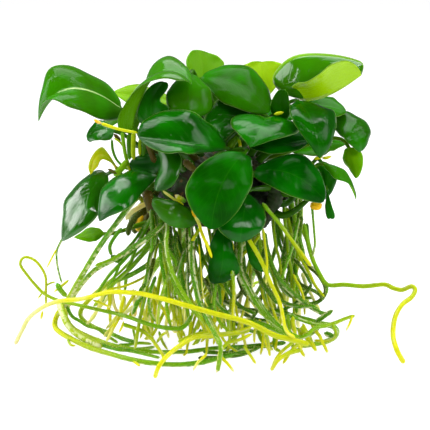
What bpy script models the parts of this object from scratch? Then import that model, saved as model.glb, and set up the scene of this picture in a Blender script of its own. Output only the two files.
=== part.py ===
"""An anubias plant grown onto a lava stone.

A creeping rhizome holds on to the stone and carries every leaf. Long roots come down
over the stone, carry it, and run round on the ground in a ring.

Metres, +Z up. The origin is on the ground, under the middle of the plant, and the plant
is looked at along +Y. Most places are given as they are seen from there, in millimetres:
across, up, and the depth behind the plant's middle (nearer is negative).
"""
import math

import bmesh
import bpy
from mathutils import Matrix, Vector, noise

MM = 0.001

# The view in which the plant is laid out.
VIEW_TILT = math.radians(13.0)       # the eye looks down by this much
VIEW_DISTANCE = 1300.0               # from the eye to the middle of the plant
VIEW_MIDDLE = Vector((-1.0, 0.0, 66.0))
MIDDLE_UP = VIEW_MIDDLE.z * math.cos(VIEW_TILT)
PLANT_SHIFT = Vector((0.6, 1.6, 0.0))  # brings the middle of the whole plant over the origin

# The stone. Its noise is taken on a ball of radius 1.
STONE_MIDDLE = Vector((3.0, 5.0, 77.0))
STONE_HALF = Vector((37.0, 32.0, 20.0))
STONE_DETAIL = 3                     # subdivisions of its ball
STONE_NOISE_START = Vector((4.0, 1.0, 7.0))
STONE_LUMPS_PER_RADIUS = 1.7
STONE_LUMP_HEIGHT = 0.16             # as a share of the stone's radius
STONE_LUMP_LEVEL = 0.25              # the noise that leaves the stone at its even size
STONE_GRAINS_PER_RADIUS = 5.0
STONE_GRAIN_HEIGHT = 0.027

# The rhizome. Its shares are of its own radius.
RHIZOME_RADIUS = 4.6
RHIZOME_SINK = 1.2                   # how far it is pressed into the stone's hollows
RHIZOME_BODY = 0.94                  # between two knots
RHIZOME_KNOT = 0.05                  # how far a knot stands out, where an old leaf grew
RHIZOME_END = 0.72                   # at its blunt ends
RHIZOME_END_GROWTH = 2.2             # how fast it thickens from an end
RHIZOME_STEPS = 4                    # between two of its points
STONE_BED = 1.012                    # the stone's size in the bed that is cut into the rhizome

# The leaves. The shares are of the width or the thickness that they follow.
STALK_GAP = 0.4                      # between a stalk and the rhizome that it grows from
STALK_FOOT = 1.9
STALK_NECK = 1.05
STALK_TAPER = 1.6                    # higher reaches the neck's radius sooner
STALK_RISE = 0.35                    # how far it runs square to the rhizome, of its reach
STALK_RUN_IN = 0.30                  # how far it runs in line with the blade
STALK_STEPS = (0.0, 0.36, 0.72)
BLADE_STEPS = (0.08, 0.26, 0.48, 0.71, 0.91)
BLADE_THICKNESS = 1.15
RIM_THICKNESS = 0.75
RIM_DROP = 0.2                       # the rim's corner lies a little under the blade's middle
RIB_TOP = 0.8
RIB_BOTTOM = 1.3                     # the midrib stands out below
BLADE_CREST = 0.55                   # where each half is highest, between midrib and rim
BLADE_BULGE = 0.10
BASE_ROUNDNESS = 0.55                # lower is rounder
TIP_BLUNTNESS = 0.85                 # lower is blunter
RIM_STATIONS = (0.2, 0.5, 0.8)       # where along the blade its rim points lie
STATION_EASE = 0.05                  # before and past these shares of it the rim's form stays

# The roots.
ROOT_STEPS = 6                       # between two of a root's points
ROOT_LONGEST_STEP = 24.0             # between two points of a root's solid
ROOT_SHORTEST_STEP = 4.0
ROOT_LARGEST_TURN = math.radians(15.0)
ROOT_TIP = 0.5                       # the tip's end, as a share of its width
GROUND_PRESS = 0.80                  # height of a lying root's middle, in root radii

# Corners of a tube between two of its four quarters, and what is shaded as an edge.
ROOT_BEVEL = 1
RHIZOME_BEVEL = 2
SHARP_ANGLE = math.radians(50.0)
WELD_DISTANCE = 1e-6

LEAF_DARK = (0.012, 0.085, 0.010)
LEAF_YOUNG = (0.110, 0.300, 0.012)
LEAF_OLD = (0.480, 0.420, 0.030)
ROOT_GREEN = (0.060, 0.150, 0.012)
ROOT_YELLOW = (0.560, 0.560, 0.020)
RHIZOME_BROWN = (0.130, 0.080, 0.020)
STONE_GREY = (0.035, 0.033, 0.030)

# The rhizome's branches, each a list of directions from the middle of the stone: the angle
# round it from +X, and the angle above the level, in degrees.
RHIZOME = {
    "main": [(218, -18), (228, 12), (238, 42), (262, 66), (296, 66), (316, 42), (322, 8), (312, -22)],
    "rear_left": [(250, 62), (180, 84), (118, 60), (106, 26), (112, -4)],
    "rear_right": [(292, 62), (10, 78), (40, 50), (52, 18)],
}

# Each leaf: its finish, the rhizome's branch and the share of its length where the stalk
# starts, the midrib's base, middle and tip, and the left and the right rim, as one looks from
# the base to the tip on the upper side: one point beside the middle, or one at each of the
# rim's stations. "widest" is the share of the blade's length where it is widest.
LEAVES = {
    "leaf_far_left": dict(
        finish="dark", branch="main", foot=0.19, widest=0.46,
        midrib=[(-52, 122, 8), (-80, 133.5, -8), (-98, 116, -14)],
        left=[(-61, 116.5, -7), (-80, 123.5, -25), (-94.5, 126.5, -24)],
        right=[(-61, 136.5, 14), (-84, 147, 8), (-96.5, 135, 0)]),
    "leaf_upper_left": dict(
        finish="dark", branch="main", foot=0.33, widest=0.44, blunt=0.7,
        midrib=[(-48, 108, -10), (-34, 141, -10), (-14, 136, -18)],
        left=[(-40.5, 122, -2), (-32, 150.5, 6), (-16.5, 145.5, -6)],
        right=[(-54, 119.5, -18), (-37.5, 137, -24), (-20, 138.5, -30)]),
    "leaf_back_left": dict(
        finish="young", branch="rear_left", foot=0.42, widest=0.42,
        midrib=[(-24.8, 127.5, 22), (-41, 129, 28), (-57, 131.5, 34)],
        left=[(-30, 121, 16), (-44, 123, 19), (-54, 129, 29)],
        right=[(-31.5, 132.5, 31), (-43, 136, 38), (-52.5, 134.5, 38)]),
    "leaf_top_bright": dict(
        finish="young", branch="rear_left", foot=0.55, widest=0.48, blunt=0.6,
        midrib=[(-8, 138, 36), (-8, 147, 46), (-10.5, 155, 57)],
        left=[(0, 142, 42), (4, 148.5, 50), (-3, 153, 56)],
        right=[(-15, 143, 38), (-17, 148.5, 45), (-15, 153.5, 53)]),
    "leaf_top_centre": dict(
        finish="dark", branch="rear_left", foot=0.33, widest=0.44, blunt=0.7,
        midrib=[(-9, 139, 10), (11, 136.5, -3), (28.5, 120.5, -14)],
        left=[(-1, 145, 16), (15, 146.5, 12), (29, 133, 4)],
        right=[(-5, 133, 0), (3, 126.5, -12), (16.5, 121, -18)]),
    "leaf_back_pale": dict(
        finish="young", branch="rear_right", foot=0.5, widest=0.48, blunt=0.55,
        midrib=[(25, 128, 30), (25, 140, 38), (25, 148.5, 46)],
        left=[(33, 135, 33), (38, 144, 38), (33, 148.5, 44)],
        right=[(18, 136, 34), (13, 144, 40), (17, 148, 45)]),
    "leaf_top_right": dict(
        finish="dark", branch="rear_right", foot=0.34, widest=0.44, blunt=0.55,
        midrib=[(40.5, 130.5, 3), (56.5, 128.6, -11), (79.5, 141.5, -17)],
        left=[(30.5, 139, 6), (46, 152.5, 4), (75, 150.5, -8)],
        right=[(44.5, 137, -12), (56, 141.5, -24), (67.5, 149.5, -22)]),
    "leaf_front_right": dict(
        finish="dark", branch="rear_right", foot=0.2, widest=0.44, blunt=0.8,
        midrib=[(44.5, 127, -9), (53, 114, -34), (56.5, 95.5, -38)],
        left=[(59.5, 124, -15), (66, 116, -23), (62.5, 102.5, -33)],
        right=[(40, 122, -24), (43.5, 113, -33), (51.5, 102, -38)]),
    "leaf_mid_right": dict(
        finish="dark", branch="main", foot=0.57, widest=0.44, blunt=0.9,
        midrib=[(27, 118, -14), (24.5, 112.5, -32), (18.5, 101.5, -46)],
        left=[(41, 116, -12), (45, 110.5, -25), (31, 105.3, -40)],
        right=[(13, 119.5, -16), (7.5, 115, -28), (12.5, 108, -42)]),
    "leaf_lower_right": dict(
        finish="dark", branch="main", foot=0.735, widest=0.48, blunt=0.6,
        midrib=[(20.5, 87.5, -34), (40.5, 87, -46), (59, 72.5, -40)],
        left=[(27, 93.5, -31), (43.5, 98, -34), (57.5, 87, -34)],
        right=[(26, 82, -40), (40, 75, -50), (52, 71.5, -46)]),
    "leaf_front": dict(
        finish="dark", branch="main", foot=0.53, widest=0.44, blunt=0.62,
        midrib=[(15.5, 98.5, -44), (2.5, 80.5, -62), (-3, 56.5, -62)],
        left=[(20, 90, -46), (18.5, 79, -55), (10, 64.5, -61)],
        right=[(-5, 95.5, -50), (-17, 78.5, -56), (-13, 66, -60)]),
    "leaf_below_front": dict(
        finish="dark", branch="main", foot=0.78, widest=0.48, blunt=0.55,
        midrib=[(16.5, 76, -36), (14.5, 62.5, -50), (12.5, 49.5, -53)],
        left=[(25, 69, -38), (27, 60.5, -45), (21.5, 53, -50)],
        right=[(5, 71, -42), (0, 60, -50), (4, 53, -53)]),
    "leaf_mid_left": dict(
        finish="dark", branch="main", foot=0.42, widest=0.46, blunt=0.6,
        midrib=[(5, 101, -30), (-19, 103.5, -45), (-43, 107, -42)],
        left=[(-7, 98.5, -42), (-17, 98, -60), (-32, 99.5, -58)],
        right=[(0, 111, -20), (-14, 121, -28), (-36, 119.5, -30)]),
    "leaf_hanging_left": dict(
        finish="dark", branch="main", foot=0.295, widest=0.46,
        midrib=[(-33, 104, -34), (-27, 91, -46), (-33, 77.5, -50)],
        left=[(-22, 99, -40), (-19.5, 91, -47), (-25, 80, -51)],
        right=[(-32, 98, -37), (-32, 88, -40), (-34.5, 80, -46)]),
    "leaf_low_left_inner": dict(
        finish="dark", branch="main", foot=0.15, widest=0.46, blunt=0.7,
        midrib=[(-33.5, 85.5, -30), (-52, 77.5, -50), (-64.5, 61, -52)],
        left=[(-39, 78.5, -40), (-48, 68.5, -55), (-58, 64, -56)],
        right=[(-43, 89.5, -26), (-57, 85, -36), (-65, 73, -44)]),
    "leaf_low_left_outer": dict(
        finish="dark", branch="main", foot=0.11, widest=0.46, blunt=0.75,
        midrib=[(-60, 87, -24), (-74, 71.5, -34), (-85, 50, -34)],
        left=[(-61, 77, -31), (-65, 64.5, -40), (-76, 54.5, -41)],
        right=[(-69, 87.5, -20), (-81.5, 76, -22), (-85.5, 61, -28)]),
    "leaf_small_centre": dict(
        finish="dark", branch="main", foot=0.075, widest=0.48, blunt=0.6,
        midrib=[(-11.5, 60, -38), (-23, 64.5, -50), (-35.5, 71.5, -46)],
        left=[(-17, 57, -44), (-26, 58.5, -51), (-33.5, 65.5, -48)],
        right=[(-14, 67, -34), (-22, 71.5, -40), (-32, 74, -42)]),
    "leaf_hanging_front": dict(
        finish="dark", branch="main", foot=0.93, widest=0.62, blunt=0.55,
        midrib=[(3, 60, -40), (3.5, 42, -50), (0.5, 27, -47)],
        left=[(7.5, 52, -42), (10.5, 42, -46), (12, 32, -44)],
        right=[(-3, 50, -43), (-4.5, 41, -46), (-4.5, 29.5, -46)]),
    "leaf_hanging_right": dict(
        finish="dark", branch="main", foot=0.97, widest=0.50,
        midrib=[(17, 53, -36), (20.5, 42.5, -41), (26, 33, -42)],
        left=[(20, 50, -37), (24, 42.5, -40), (27, 36, -41)],
        right=[(16, 47, -38), (17.5, 40, -40), (21, 34.5, -41)]),
    "leaf_right_edge": dict(
        finish="dark", branch="rear_right", foot=0.7, widest=0.46, blunt=0.6,
        midrib=[(64, 116, 4), (75.5, 112, -6), (79.5, 99.5, -8)],
        left=[(71.5, 121.5, 8), (83, 114, 4), (84, 106, -2)],
        right=[(66, 110, -4), (70, 106, -12), (75.5, 101, -12)]),
    "leaf_right_bright": dict(
        finish="young", branch="rear_right", foot=0.8, widest=0.44, blunt=0.7,
        midrib=[(72.5, 101.5, -2), (75, 93, -6), (76.5, 84.5, -6)],
        left=[(79, 99.5, -3), (80.5, 93, -6), (79, 87, -6)],
        right=[(69.5, 98.5, 0), (70, 93, 1), (73.5, 88.5, -2)]),
    "leaf_right_curled": dict(
        finish="dark", branch="main", foot=0.81, widest=0.36,
        midrib=[(58.5, 92.5, -22), (69.5, 86, -26), (76.5, 73, -20)],
        left=[(64, 91.5, -19), (71.5, 87.5, -20), (76, 78, -19)],
        right=[(62.5, 87, -27), (67, 83.5, -30), (74.5, 79.5, -24)]),
    "leaf_narrow": dict(
        finish="dark", branch="main", foot=0.9, widest=0.70, blunt=0.4,
        midrib=[(60.5, 78, -28), (61.5, 70, -30), (62.5, 62.5, -28)],
        left=[(62, 74, -30), (63.5, 69, -31), (65, 64, -29)],
        right=[(60, 73.5, -27), (59.5, 69, -28), (60, 64, -27)]),
    "leaf_left_small": dict(
        finish="dark", branch="main", foot=0.225, widest=0.48, blunt=0.6,
        midrib=[(-56.5, 110.5, -16), (-64, 110.5, -19), (-71.5, 107, -20)],
        left=[(-59, 105.5, -20), (-64.5, 105.5, -26), (-69.5, 104.5, -23)],
        right=[(-60, 115, -12), (-66, 116, -13), (-70.5, 111, -17)]),
    "leaf_left_yellow": dict(
        finish="old", branch="main", foot=0.05, widest=0.42,
        midrib=[(-55, 90, -18), (-64.5, 97.5, -20), (-69.5, 86.5, -24)],
        left=[(-59, 93.5, -21), (-63.5, 94.5, -24), (-66, 90.5, -26)],
        right=[(-59.5, 98, -16), (-65, 101, -16), (-70.5, 92.5, -21)]),
    "leaf_left_low_bright": dict(
        finish="young", branch="main", foot=0.015, widest=0.42,
        midrib=[(-62, 54, -12), (-69.5, 54, -16), (-78.5, 52, -18)],
        left=[(-65.5, 50.5, -18), (-69, 49.5, -22), (-75, 50.5, -21)],
        right=[(-65, 57, -8), (-70, 57.5, -9), (-75, 54.5, -14)]),
    "leaf_back_centre": dict(
        finish="dark", branch="rear_left", foot=0.2, widest=0.46, blunt=0.55,
        midrib=[(-14, 142, -4), (-15, 130, -14), (-15, 118, -18)],
        left=[(-7, 137, -4), (-2, 129.5, -6), (-4, 121, -11)],
        right=[(-23, 138, -2), (-27.5, 130.5, -8), (-26, 122, -14)]),
    "leaf_dark_centre": dict(
        finish="dark", branch="main", foot=0.465, widest=0.5, blunt=0.6,
        midrib=[(26, 123, -3), (8, 115.5, -12), (-2, 102, -18)],
        left=[(11, 111, -18)], right=[(0, 127, -3)]),
    "leaf_dark_left": dict(
        finish="dark", branch="main", foot=0.375, widest=0.3, blunt=0.6,
        midrib=[(-35, 113, -14), (-35.5, 126, -12), (-29, 137.5, -10)],
        left=[(-43.5, 117, -13), (-41.5, 128, -11), (-35.5, 136, -10)],
        right=[(-25.5, 123, -15), (-31, 127.5, -14), (-27, 134, -12)]),
    "leaf_behind_right": dict(
        finish="dark", branch="main", foot=0.605, widest=0.50, blunt=0.5,
        midrib=[(36, 117, -9), (35, 125, -11), (36, 133, -11)],
        left=[(31, 119, -8), (29.5, 125, -10), (32.5, 131.5, -11)],
        right=[(40, 119, -10), (40, 126, -12), (39, 131.5, -12)]),
    "leaf_right_upper": dict(
        finish="dark", branch="rear_right", foot=0.6, widest=0.46, blunt=0.7,
        midrib=[(47.3, 125.4, 4), (60, 124, 4), (71, 121, 2)],
        left=[(54, 130, 11), (63, 129, 14), (69, 125, 8)],
        right=[(53, 118.5, -3), (62, 118, -5), (68.5, 119, -2)]),
    "leaf_shadow": dict(
        finish="dark", branch="main", foot=0.65, widest=0.46,
        midrib=[(52, 106, -12), (36, 103, -20), (19, 101, -27)],
        left=[(36, 98, -29)], right=[(36, 110, -10)]),
    "leaf_behind_lower_right": dict(
        finish="dark", branch="main", foot=0.855, widest=0.46,
        midrib=[(57, 94, -12), (60, 84.5, -16), (60, 73, -18)],
        left=[(66, 85, -12)], right=[(53, 83, -10)]),
    "leaf_rear_left": dict(
        finish="dark", branch="rear_left", foot=0.48, widest=0.44,
        midrib=[(-28, 114, 26), (-47, 124, 46), (-64, 109, 60)],
        left=[(-59, 118, 35)], right=[(-36, 123, 58)]),
    "leaf_rear_middle": dict(
        finish="dark", branch="rear_left", foot=0.72, widest=0.44,
        midrib=[(-4, 115, 36), (-8, 127, 60), (-11, 115, 82)],
        left=[(-25, 124, 60)], right=[(9, 124, 60)]),
    "leaf_rear_right": dict(
        finish="dark", branch="rear_right", foot=0.66, widest=0.44,
        midrib=[(28, 114, 30), (45, 124, 50), (58, 111, 68)],
        left=[(34, 123, 61)], right=[(56, 120, 39)]),
    "leaf_dark_low_left": dict(
        finish="dark", branch="main", foot=0.26, widest=0.55, blunt=0.45,
        midrib=[(-29.5, 95.5, -21), (-38, 93, -22), (-48, 92.5, -21)],
        left=[(-38, 85, -22)], right=[(-38, 98.5, -20)]),
    "leaf_rear_low_middle": dict(
        finish="dark", branch="rear_left", foot=0.88, widest=0.44,
        midrib=[(2, 99, 46), (10, 100, 68), (12, 82, 80)],
        left=[(-6, 102, 71)], right=[(25, 102, 66)]),
    "leaf_rear_low_right": dict(
        finish="dark", branch="rear_right", foot=0.93, widest=0.44,
        midrib=[(40, 99, 24), (57, 103.5, 36), (71, 103, 42)],
        left=[(52, 108, 50)], right=[(61, 98, 21)]),
}

# Each root: its finish, its width at the start and at the tip, and the points that it passes.
# A point with no depth lies on the ground. The wide ones are bundles of strands, and the two
# at the back part in forks, each with its own widths and points.
ROOTS = {
    "root_ring_outer": dict(
        finish="green", width=(3.2, 3.0), points=[
            (-42, 76, -30), (-53, 63, -30), (-65, 46, -24), (-76, 28, -12), (-83, 16, -4),
            (-88, 9, 0), (-89, 3, -2), (-85, -1, None), (-78, -5, None), (-69, -9, None),
            (-59, -12, None), (-48, -15, None), (-37, -17, None), (-23, -18, None),
            (-9, -17, None), (3, -14, None), (18, -11, None)]),
    "root_ring_inner": dict(
        finish="green", width=(3.0, 2.6), points=[
            (-29, 60, -44), (-38, 52, -44), (-53, 42, -34), (-67, 34, -18), (-76, 24, -2),
            (-82, 14, 6), (-83, 8, 2), (-80, 3, -6), (-74, -1, None), (-62, -6, None),
            (-50, -9, None), (-36, -11, None), (-18, -11, None), (0, -9, None), (18, -8, None),
            (38, -6, None)]),
    "root_ring_low": dict(
        finish="green", width=(3.0, 2.4), points=[
            (-34, 40, -30), (-46, 32, -26), (-60, 26, -16), (-70, 18, -6), (-75, 11, 0),
            (-73, 6, -2), (-66, 2, -4), (-58, -1, None), (-51, -4, None), (-44, -6, None)]),
    "root_front_long": dict(
        finish="yellow", width=(3.2, 2.4), points=[
            (51, -7, -76), (40, -4, -80), (32, -2, -82), (18, 5, -82), (-1, 10, -80),
            (-15, 14, -76), (-29, 18, -70), (-42, 21, -62), (-56, 22, -54), (-64, 21, -48),
            (-75, 18, -42), (-86, 17, -36), (-95, 14, -32), (-103, 8, -30), (-107, 1, -32),
            (-111, -7, -40)]),
    "root_left_loop": dict(
        finish="yellow", width=(2.6, 1.4), points=[
            (-14, 9, -52), (-18, 3, -56), (-24, 2, -56), (-37, 4, -52), (-48, 8, -46),
            (-59, 11, -40), (-73, 14, -34), (-86, 17, -28), (-95, 21, -24), (-100, 26, -22),
            (-104, 31, -20), (-108, 37, -19), (-106, 41, -19), (-101, 40, -20), (-97, 36, -21),
            (-94, 30, -21), (-94, 22, -20), (-94, 15, -20)]),
    "root_hang_left": dict(
        finish="green", width=(2.4, 2.2), points=[
            (-28, 64, -34), (-27, 57, -44), (-28, 48, -50), (-26, 38, -54), (-22, 28, -58),
            (-16, 18, -62), (-10, 10, -65), (-6, 4, -68)]),
    "root_hang_middle": dict(
        finish="yellow", width=(4.6, 2.2), points=[
            (-15, 58, -32), (-14, 50, -42), (-14, 42, -48), (-13, 32, -52), (-11, 23, -56),
            (-9, 15, -60), (-5, 7, -68), (-1, -1, -80), (2, -9, -90), (0, -22, None)]),
    "root_right_far": dict(
        finish="green", width=(2.4, 3.0), points=[
            (48, 60, -20), (51, 45, -20), (56, 33, -20), (61, 26, -20), (70, 26, -21),
            (81, 25, -22), (92, 26, -24), (97, 24, -26), (102, 23, -28), (107, 25, -30),
            (109, 23, -32), (107, 19, -36), (102, 15, -42), (98, 8, -52), (97, -2, -62),
            (99, -10, -72), (103, -17, None)]),
    "root_right_straight": dict(
        finish="yellow", width=(2.4, 2.0), points=[
            (25, 71, -38), (34, 60, -40), (43, 48, -42), (52, 36, -44)]),
    "root_right_yellow": dict(
        finish="yellow", width=(2.6, 2.0), points=[
            (17, 52, -48), (25, 38, -54), (29, 28, -60), (35, 15, -68), (38, 1, -78), (43, -3, -84)]),
    "root_front_right": dict(
        finish="green", width=(7.0, 5.0), points=[
            (12, 52, -20), (12, 34, -34), (18, 22, -46), (27, 10, -56), (36, 2, -64), (46, -2, -70)]),
    "root_right_dark": dict(
        finish="green", width=(3.0, 2.4), points=[
            (26, 55, -34), (28, 44, -38), (33, 31, -40), (43, 20, -38), (56, 11, -34), (63, 10, -32)]),
    "root_right_bundle": dict(
        finish="green", width=(10.0, 8.0), points=[
            (43, 76.5, -4), (43, 62, -7), (40, 46, -11), (37, 32, -10), (41, 23, -8), (54, 20, -6)]),
    "root_right_tail": dict(
        finish="green", width=(3.0, 2.0), points=[
            (16, 6, -44), (26, 4, -46), (35, 0, -50), (43, -3, -54), (49, -2, -56), (54, 2, -52),
            (62, 4, -46), (70, 7, -42), (76, 9, -40)]),
    "root_ring_right": dict(
        finish="green", width=(3.4, 3.0), points=[
            (32, 12, -26), (44, 8, -26), (56, 5, -24), (64, 3, -20), (66, -1, -12), (61, -5, None),
            (52, -7, None), (44, -8, None)]),
    "root_tip_left": dict(
        finish="yellow", width=(3.0, 2.4), points=[
            (18, 1, -56), (8, -1, -64), (-3, -2, -72), (-12, -3, -80), (-21, -8, -89),
            (-27, -13, -96), (-32, -19, -102), (-34, -25, None)]),
    "root_tip_right": dict(
        finish="yellow", width=(2.8, 2.2), points=[
            (46, -10, -70), (41, -11, -76), (37, -13, -80), (33, -16, -86), (30, -21, None)]),
    "root_back_left": dict(
        finish="green", width=(9.0, 4.5), points=[
            (-16, 60, 12), (-22, 50, 20), (-27, 38, 34), (-29, 28, 54), (-26, 25, None),
            (-18, 27, None)],
        forks=[
            dict(width=(6.5, 4.0), points=[
                (-20, 54, 16), (-29, 43, 22), (-37, 31, 32), (-41, 20, 46), (-44, 17.5, None),
                (-40, 20, None)]),
            dict(width=(6.5, 4.0), points=[
                (-20, 53, 18), (-17, 43, 32), (-10, 31, 48), (-6, 24, 66), (-4, 22, None),
                (2, 24, None)]),
        ]),
    "root_back_right": dict(
        finish="green", width=(9.0, 4.5), points=[
            (18, 56, 14), (21, 48, 22), (21, 38, 34), (18, 28, 54), (18, 25, None),
            (24, 27, None)],
        forks=[
            dict(width=(6.5, 4.0), points=[
                (20, 51, 19), (27, 42, 26), (32, 30, 38), (34, 21, 56), (37, 20.5, None),
                (42, 22, None)]),
            dict(width=(6.5, 4.0), points=[
                (19, 51, 18), (12, 42, 26), (6, 29, 34), (2, 17, 44), (-2, 14, None),
                (-9, 13.5, None)]),
        ]),
}


def view_point(across, up):
    """The point of the upright view plane, through the plant's middle, that is seen there."""
    upward = Vector((0.0, math.sin(VIEW_TILT), math.cos(VIEW_TILT)))
    sideways = Vector((1.0, 0.0, 0.0))
    return VIEW_MIDDLE + sideways * (across - VIEW_MIDDLE.x) + upward * (up - MIDDLE_UP)


def eye():
    backward = Vector((0.0, -math.cos(VIEW_TILT), math.sin(VIEW_TILT)))
    return VIEW_MIDDLE + backward * VIEW_DISTANCE


def seen(across, up, depth):
    """The point that is seen at a place in the view, at the given depth."""
    start = eye()
    ray = view_point(across, up) - start
    return start + ray * ((depth - start.y) / ray.y) + PLANT_SHIFT


def on_ground(across, up, height):
    """The point that is seen at a place in the view, at the given height above the ground."""
    start = eye()
    ray = view_point(across, up) - start
    return start + ray * ((height - start.z) / ray.z) + PLANT_SHIFT


def smooth_path(points, steps):
    """A smooth curve through the points, with the given number of steps between two of them."""
    path = []
    for index in range(len(points) - 1):
        before = points[max(index - 1, 0)]
        here, there = points[index], points[index + 1]
        after = points[min(index + 2, len(points) - 1)]
        for step in range(steps):
            t = step / steps
            path.append(0.5 * (2.0 * here + (there - before) * t
                               + (2.0 * before - 5.0 * here + 4.0 * there - after) * t * t
                               + (3.0 * here - before - 3.0 * there + after) * t ** 3))
    path.append(points[-1].copy())
    return path


def sparse_path(points):
    """The smooth curve through the points, with fewer points where it runs straight.

    Each point comes with its share of the curve's length.
    """
    fine = smooth_path(points, ROOT_STEPS)
    lengths = [0.0]
    for before, after in zip(fine, fine[1:]):
        lengths.append(lengths[-1] + (after - before).length)
    kept = [0]
    for index in range(1, len(fine) - 1):
        run = lengths[index] - lengths[kept[-1]]
        start = fine[kept[-1] + 1] - fine[kept[-1]]
        turn = start.angle(fine[index + 1] - fine[index])
        left_over = lengths[-1] - lengths[index]
        if run > ROOT_LONGEST_STEP or (turn > ROOT_LARGEST_TURN and run > ROOT_SHORTEST_STEP):
            if left_over > ROOT_SHORTEST_STEP:
                kept.append(index)
    kept.append(len(fine) - 1)
    return [(fine[index], lengths[index] / lengths[-1]) for index in kept]


def bezier(points, t):
    first, second, third, fourth = points
    s = 1.0 - t
    return first * s ** 3 + second * (3 * s * s * t) + third * (3 * s * t * t) + fourth * t ** 3


def bezier_direction(points, t):
    first, second, third, fourth = points
    s = 1.0 - t
    slope = (second - first) * s * s + (third - second) * (2 * s * t) + (fourth - third) * t * t
    return slope.normalized()


def across_from(direction, tangent):
    """The part of a direction that stands square to the tangent, at unit length."""
    square = direction - tangent * direction.dot(tangent)
    return square.normalized()


def make_material(name, colour, roughness):
    material = bpy.data.materials.new(name)
    material.use_nodes = True
    shader = material.node_tree.nodes["Principled BSDF"]
    shader.inputs["Base Color"].default_value = (*colour, 1.0)
    shader.inputs["Roughness"].default_value = roughness
    shader.inputs["Metallic"].default_value = 0.0
    return material


def new_object(name, mesh, material, collection):
    mesh.materials.clear()
    mesh.materials.append(material)
    mesh.shade_smooth()
    mesh.set_sharp_from_angle(angle=SHARP_ANGLE)
    ob = bpy.data.objects.new(name, mesh)
    collection.objects.link(ob)
    return ob


def tube_mesh(name, path, radii, bevel):
    """A tube of changing radius along a path, as a mesh with closed ends."""
    curve = bpy.data.curves.new(name, "CURVE")
    curve.dimensions = "3D"
    curve.twist_mode = "Z_UP"
    curve.bevel_depth = MM
    curve.bevel_resolution = bevel
    curve.use_fill_caps = True
    spline = curve.splines.new("POLY")
    spline.points.add(len(path) - 1)
    for point, place, radius in zip(spline.points, path, radii):
        point.co = (*(place * MM), 1.0)
        point.radius = radius
    holder = bpy.data.objects.new(name + "_curve", curve)
    bpy.context.scene.collection.objects.link(holder)
    evaluated = holder.evaluated_get(bpy.context.evaluated_depsgraph_get())
    mesh = bpy.data.meshes.new_from_object(evaluated)
    bpy.data.objects.remove(holder, do_unlink=True)
    weld(mesh)
    return mesh


def weld(mesh):
    shape = bmesh.new()
    shape.from_mesh(mesh)
    bmesh.ops.remove_doubles(shape, verts=shape.verts, dist=WELD_DISTANCE)
    shape.to_mesh(mesh)
    shape.free()


def stone_point(azimuth, elevation, lift):
    """A point on the stone's even form, in a direction from its middle, lifted off by lift."""
    a, e = math.radians(azimuth), math.radians(elevation)
    direction = Vector((math.cos(a) * math.cos(e), math.sin(a) * math.cos(e), math.sin(e)))
    inverse = Vector([1.0 / half for half in STONE_HALF])
    surface = direction / (direction * inverse).length
    normal = (surface * inverse * inverse).normalized()
    return STONE_MIDDLE + surface + normal * lift + PLANT_SHIFT


def rhizome_path(branch):
    lift = RHIZOME_RADIUS - RHIZOME_SINK
    return smooth_path([stone_point(a, e, lift) for a, e in RHIZOME[branch]], RHIZOME_STEPS)


def along(path, share):
    """The point and the direction of a path at a share of its length."""
    lengths = [0.0]
    for before, after in zip(path, path[1:]):
        lengths.append(lengths[-1] + (after - before).length)
    target = lengths[-1] * share
    for index in range(len(path) - 1):
        if lengths[index + 1] >= target:
            break
    t = (target - lengths[index]) / (lengths[index + 1] - lengths[index])
    return path[index].lerp(path[index + 1], t), (path[index + 1] - path[index]).normalized()


def blade_width(t, widest, blunt):
    """Half of the blade's width at a share of its length, as a share of the widest."""
    if t < widest:
        return math.sin(0.5 * math.pi * t / widest) ** BASE_ROUNDNESS
    return max(math.cos(0.5 * math.pi * (t - widest) / (1.0 - widest)), 0.0) ** blunt


def station_share(t):
    """How far from the first to the last rim point a place on the blade lies, easing at its ends."""
    run = (t - STATION_EASE) / (1.0 - 2.0 * STATION_EASE)
    return 0.5 - 0.5 * math.cos(math.pi * min(max(run, 0.0), 1.0))


def through_three(vectors, t):
    """The change through the three vectors that stand at the rim's stations."""
    here = station_share(t)
    at = [station_share(station) for station in RIM_STATIONS]
    total = Vector((0.0, 0.0, 0.0))
    for index, vector in enumerate(vectors):
        share = 1.0
        for other in range(3):
            if other != index:
                share *= (here - at[other]) / (at[index] - at[other])
        total += vector * share
    return total


def rim_vectors(points, midrib, midrib_direction, width_at):
    """Three vectors from the midrib to the full width, from three rim points or from one."""
    if len(points) == 1:
        across = seen(*points[0]) - midrib(0.5)
        middle = midrib_direction(0.5)
        return [middle.rotation_difference(midrib_direction(t)) @ across for t in RIM_STATIONS]
    return [(seen(*point) - midrib(t)) / width_at(t) for point, t in zip(points, RIM_STATIONS)]


def blade_ring(midrib, tangent, left, right, width):
    """Eight points round the blade: the left rim, over the top to the right rim, and back."""
    left_up = tangent.cross(left).normalized()
    right_up = right.cross(tangent).normalized()
    rib_up = (left_up + right_up).normalized()
    half = 0.5 * BLADE_THICKNESS
    rim = 0.5 * RIM_THICKNESS
    left_bulge = left_up * (BLADE_BULGE * width * left.length)
    right_bulge = right_up * (BLADE_BULGE * width * right.length)
    left_crest = midrib + left * (BLADE_CREST * width) + left_bulge
    right_crest = midrib + right * (BLADE_CREST * width) + right_bulge
    return [
        midrib + left * width - left_up * rim * RIM_DROP,
        left_crest + left_up * rim,
        midrib + rib_up * half * RIB_TOP,
        right_crest + right_up * rim,
        midrib + right * width - right_up * rim * RIM_DROP,
        right_crest - right_up * rim,
        midrib - rib_up * half * RIB_BOTTOM,
        left_crest - left_up * rim,
    ]


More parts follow.
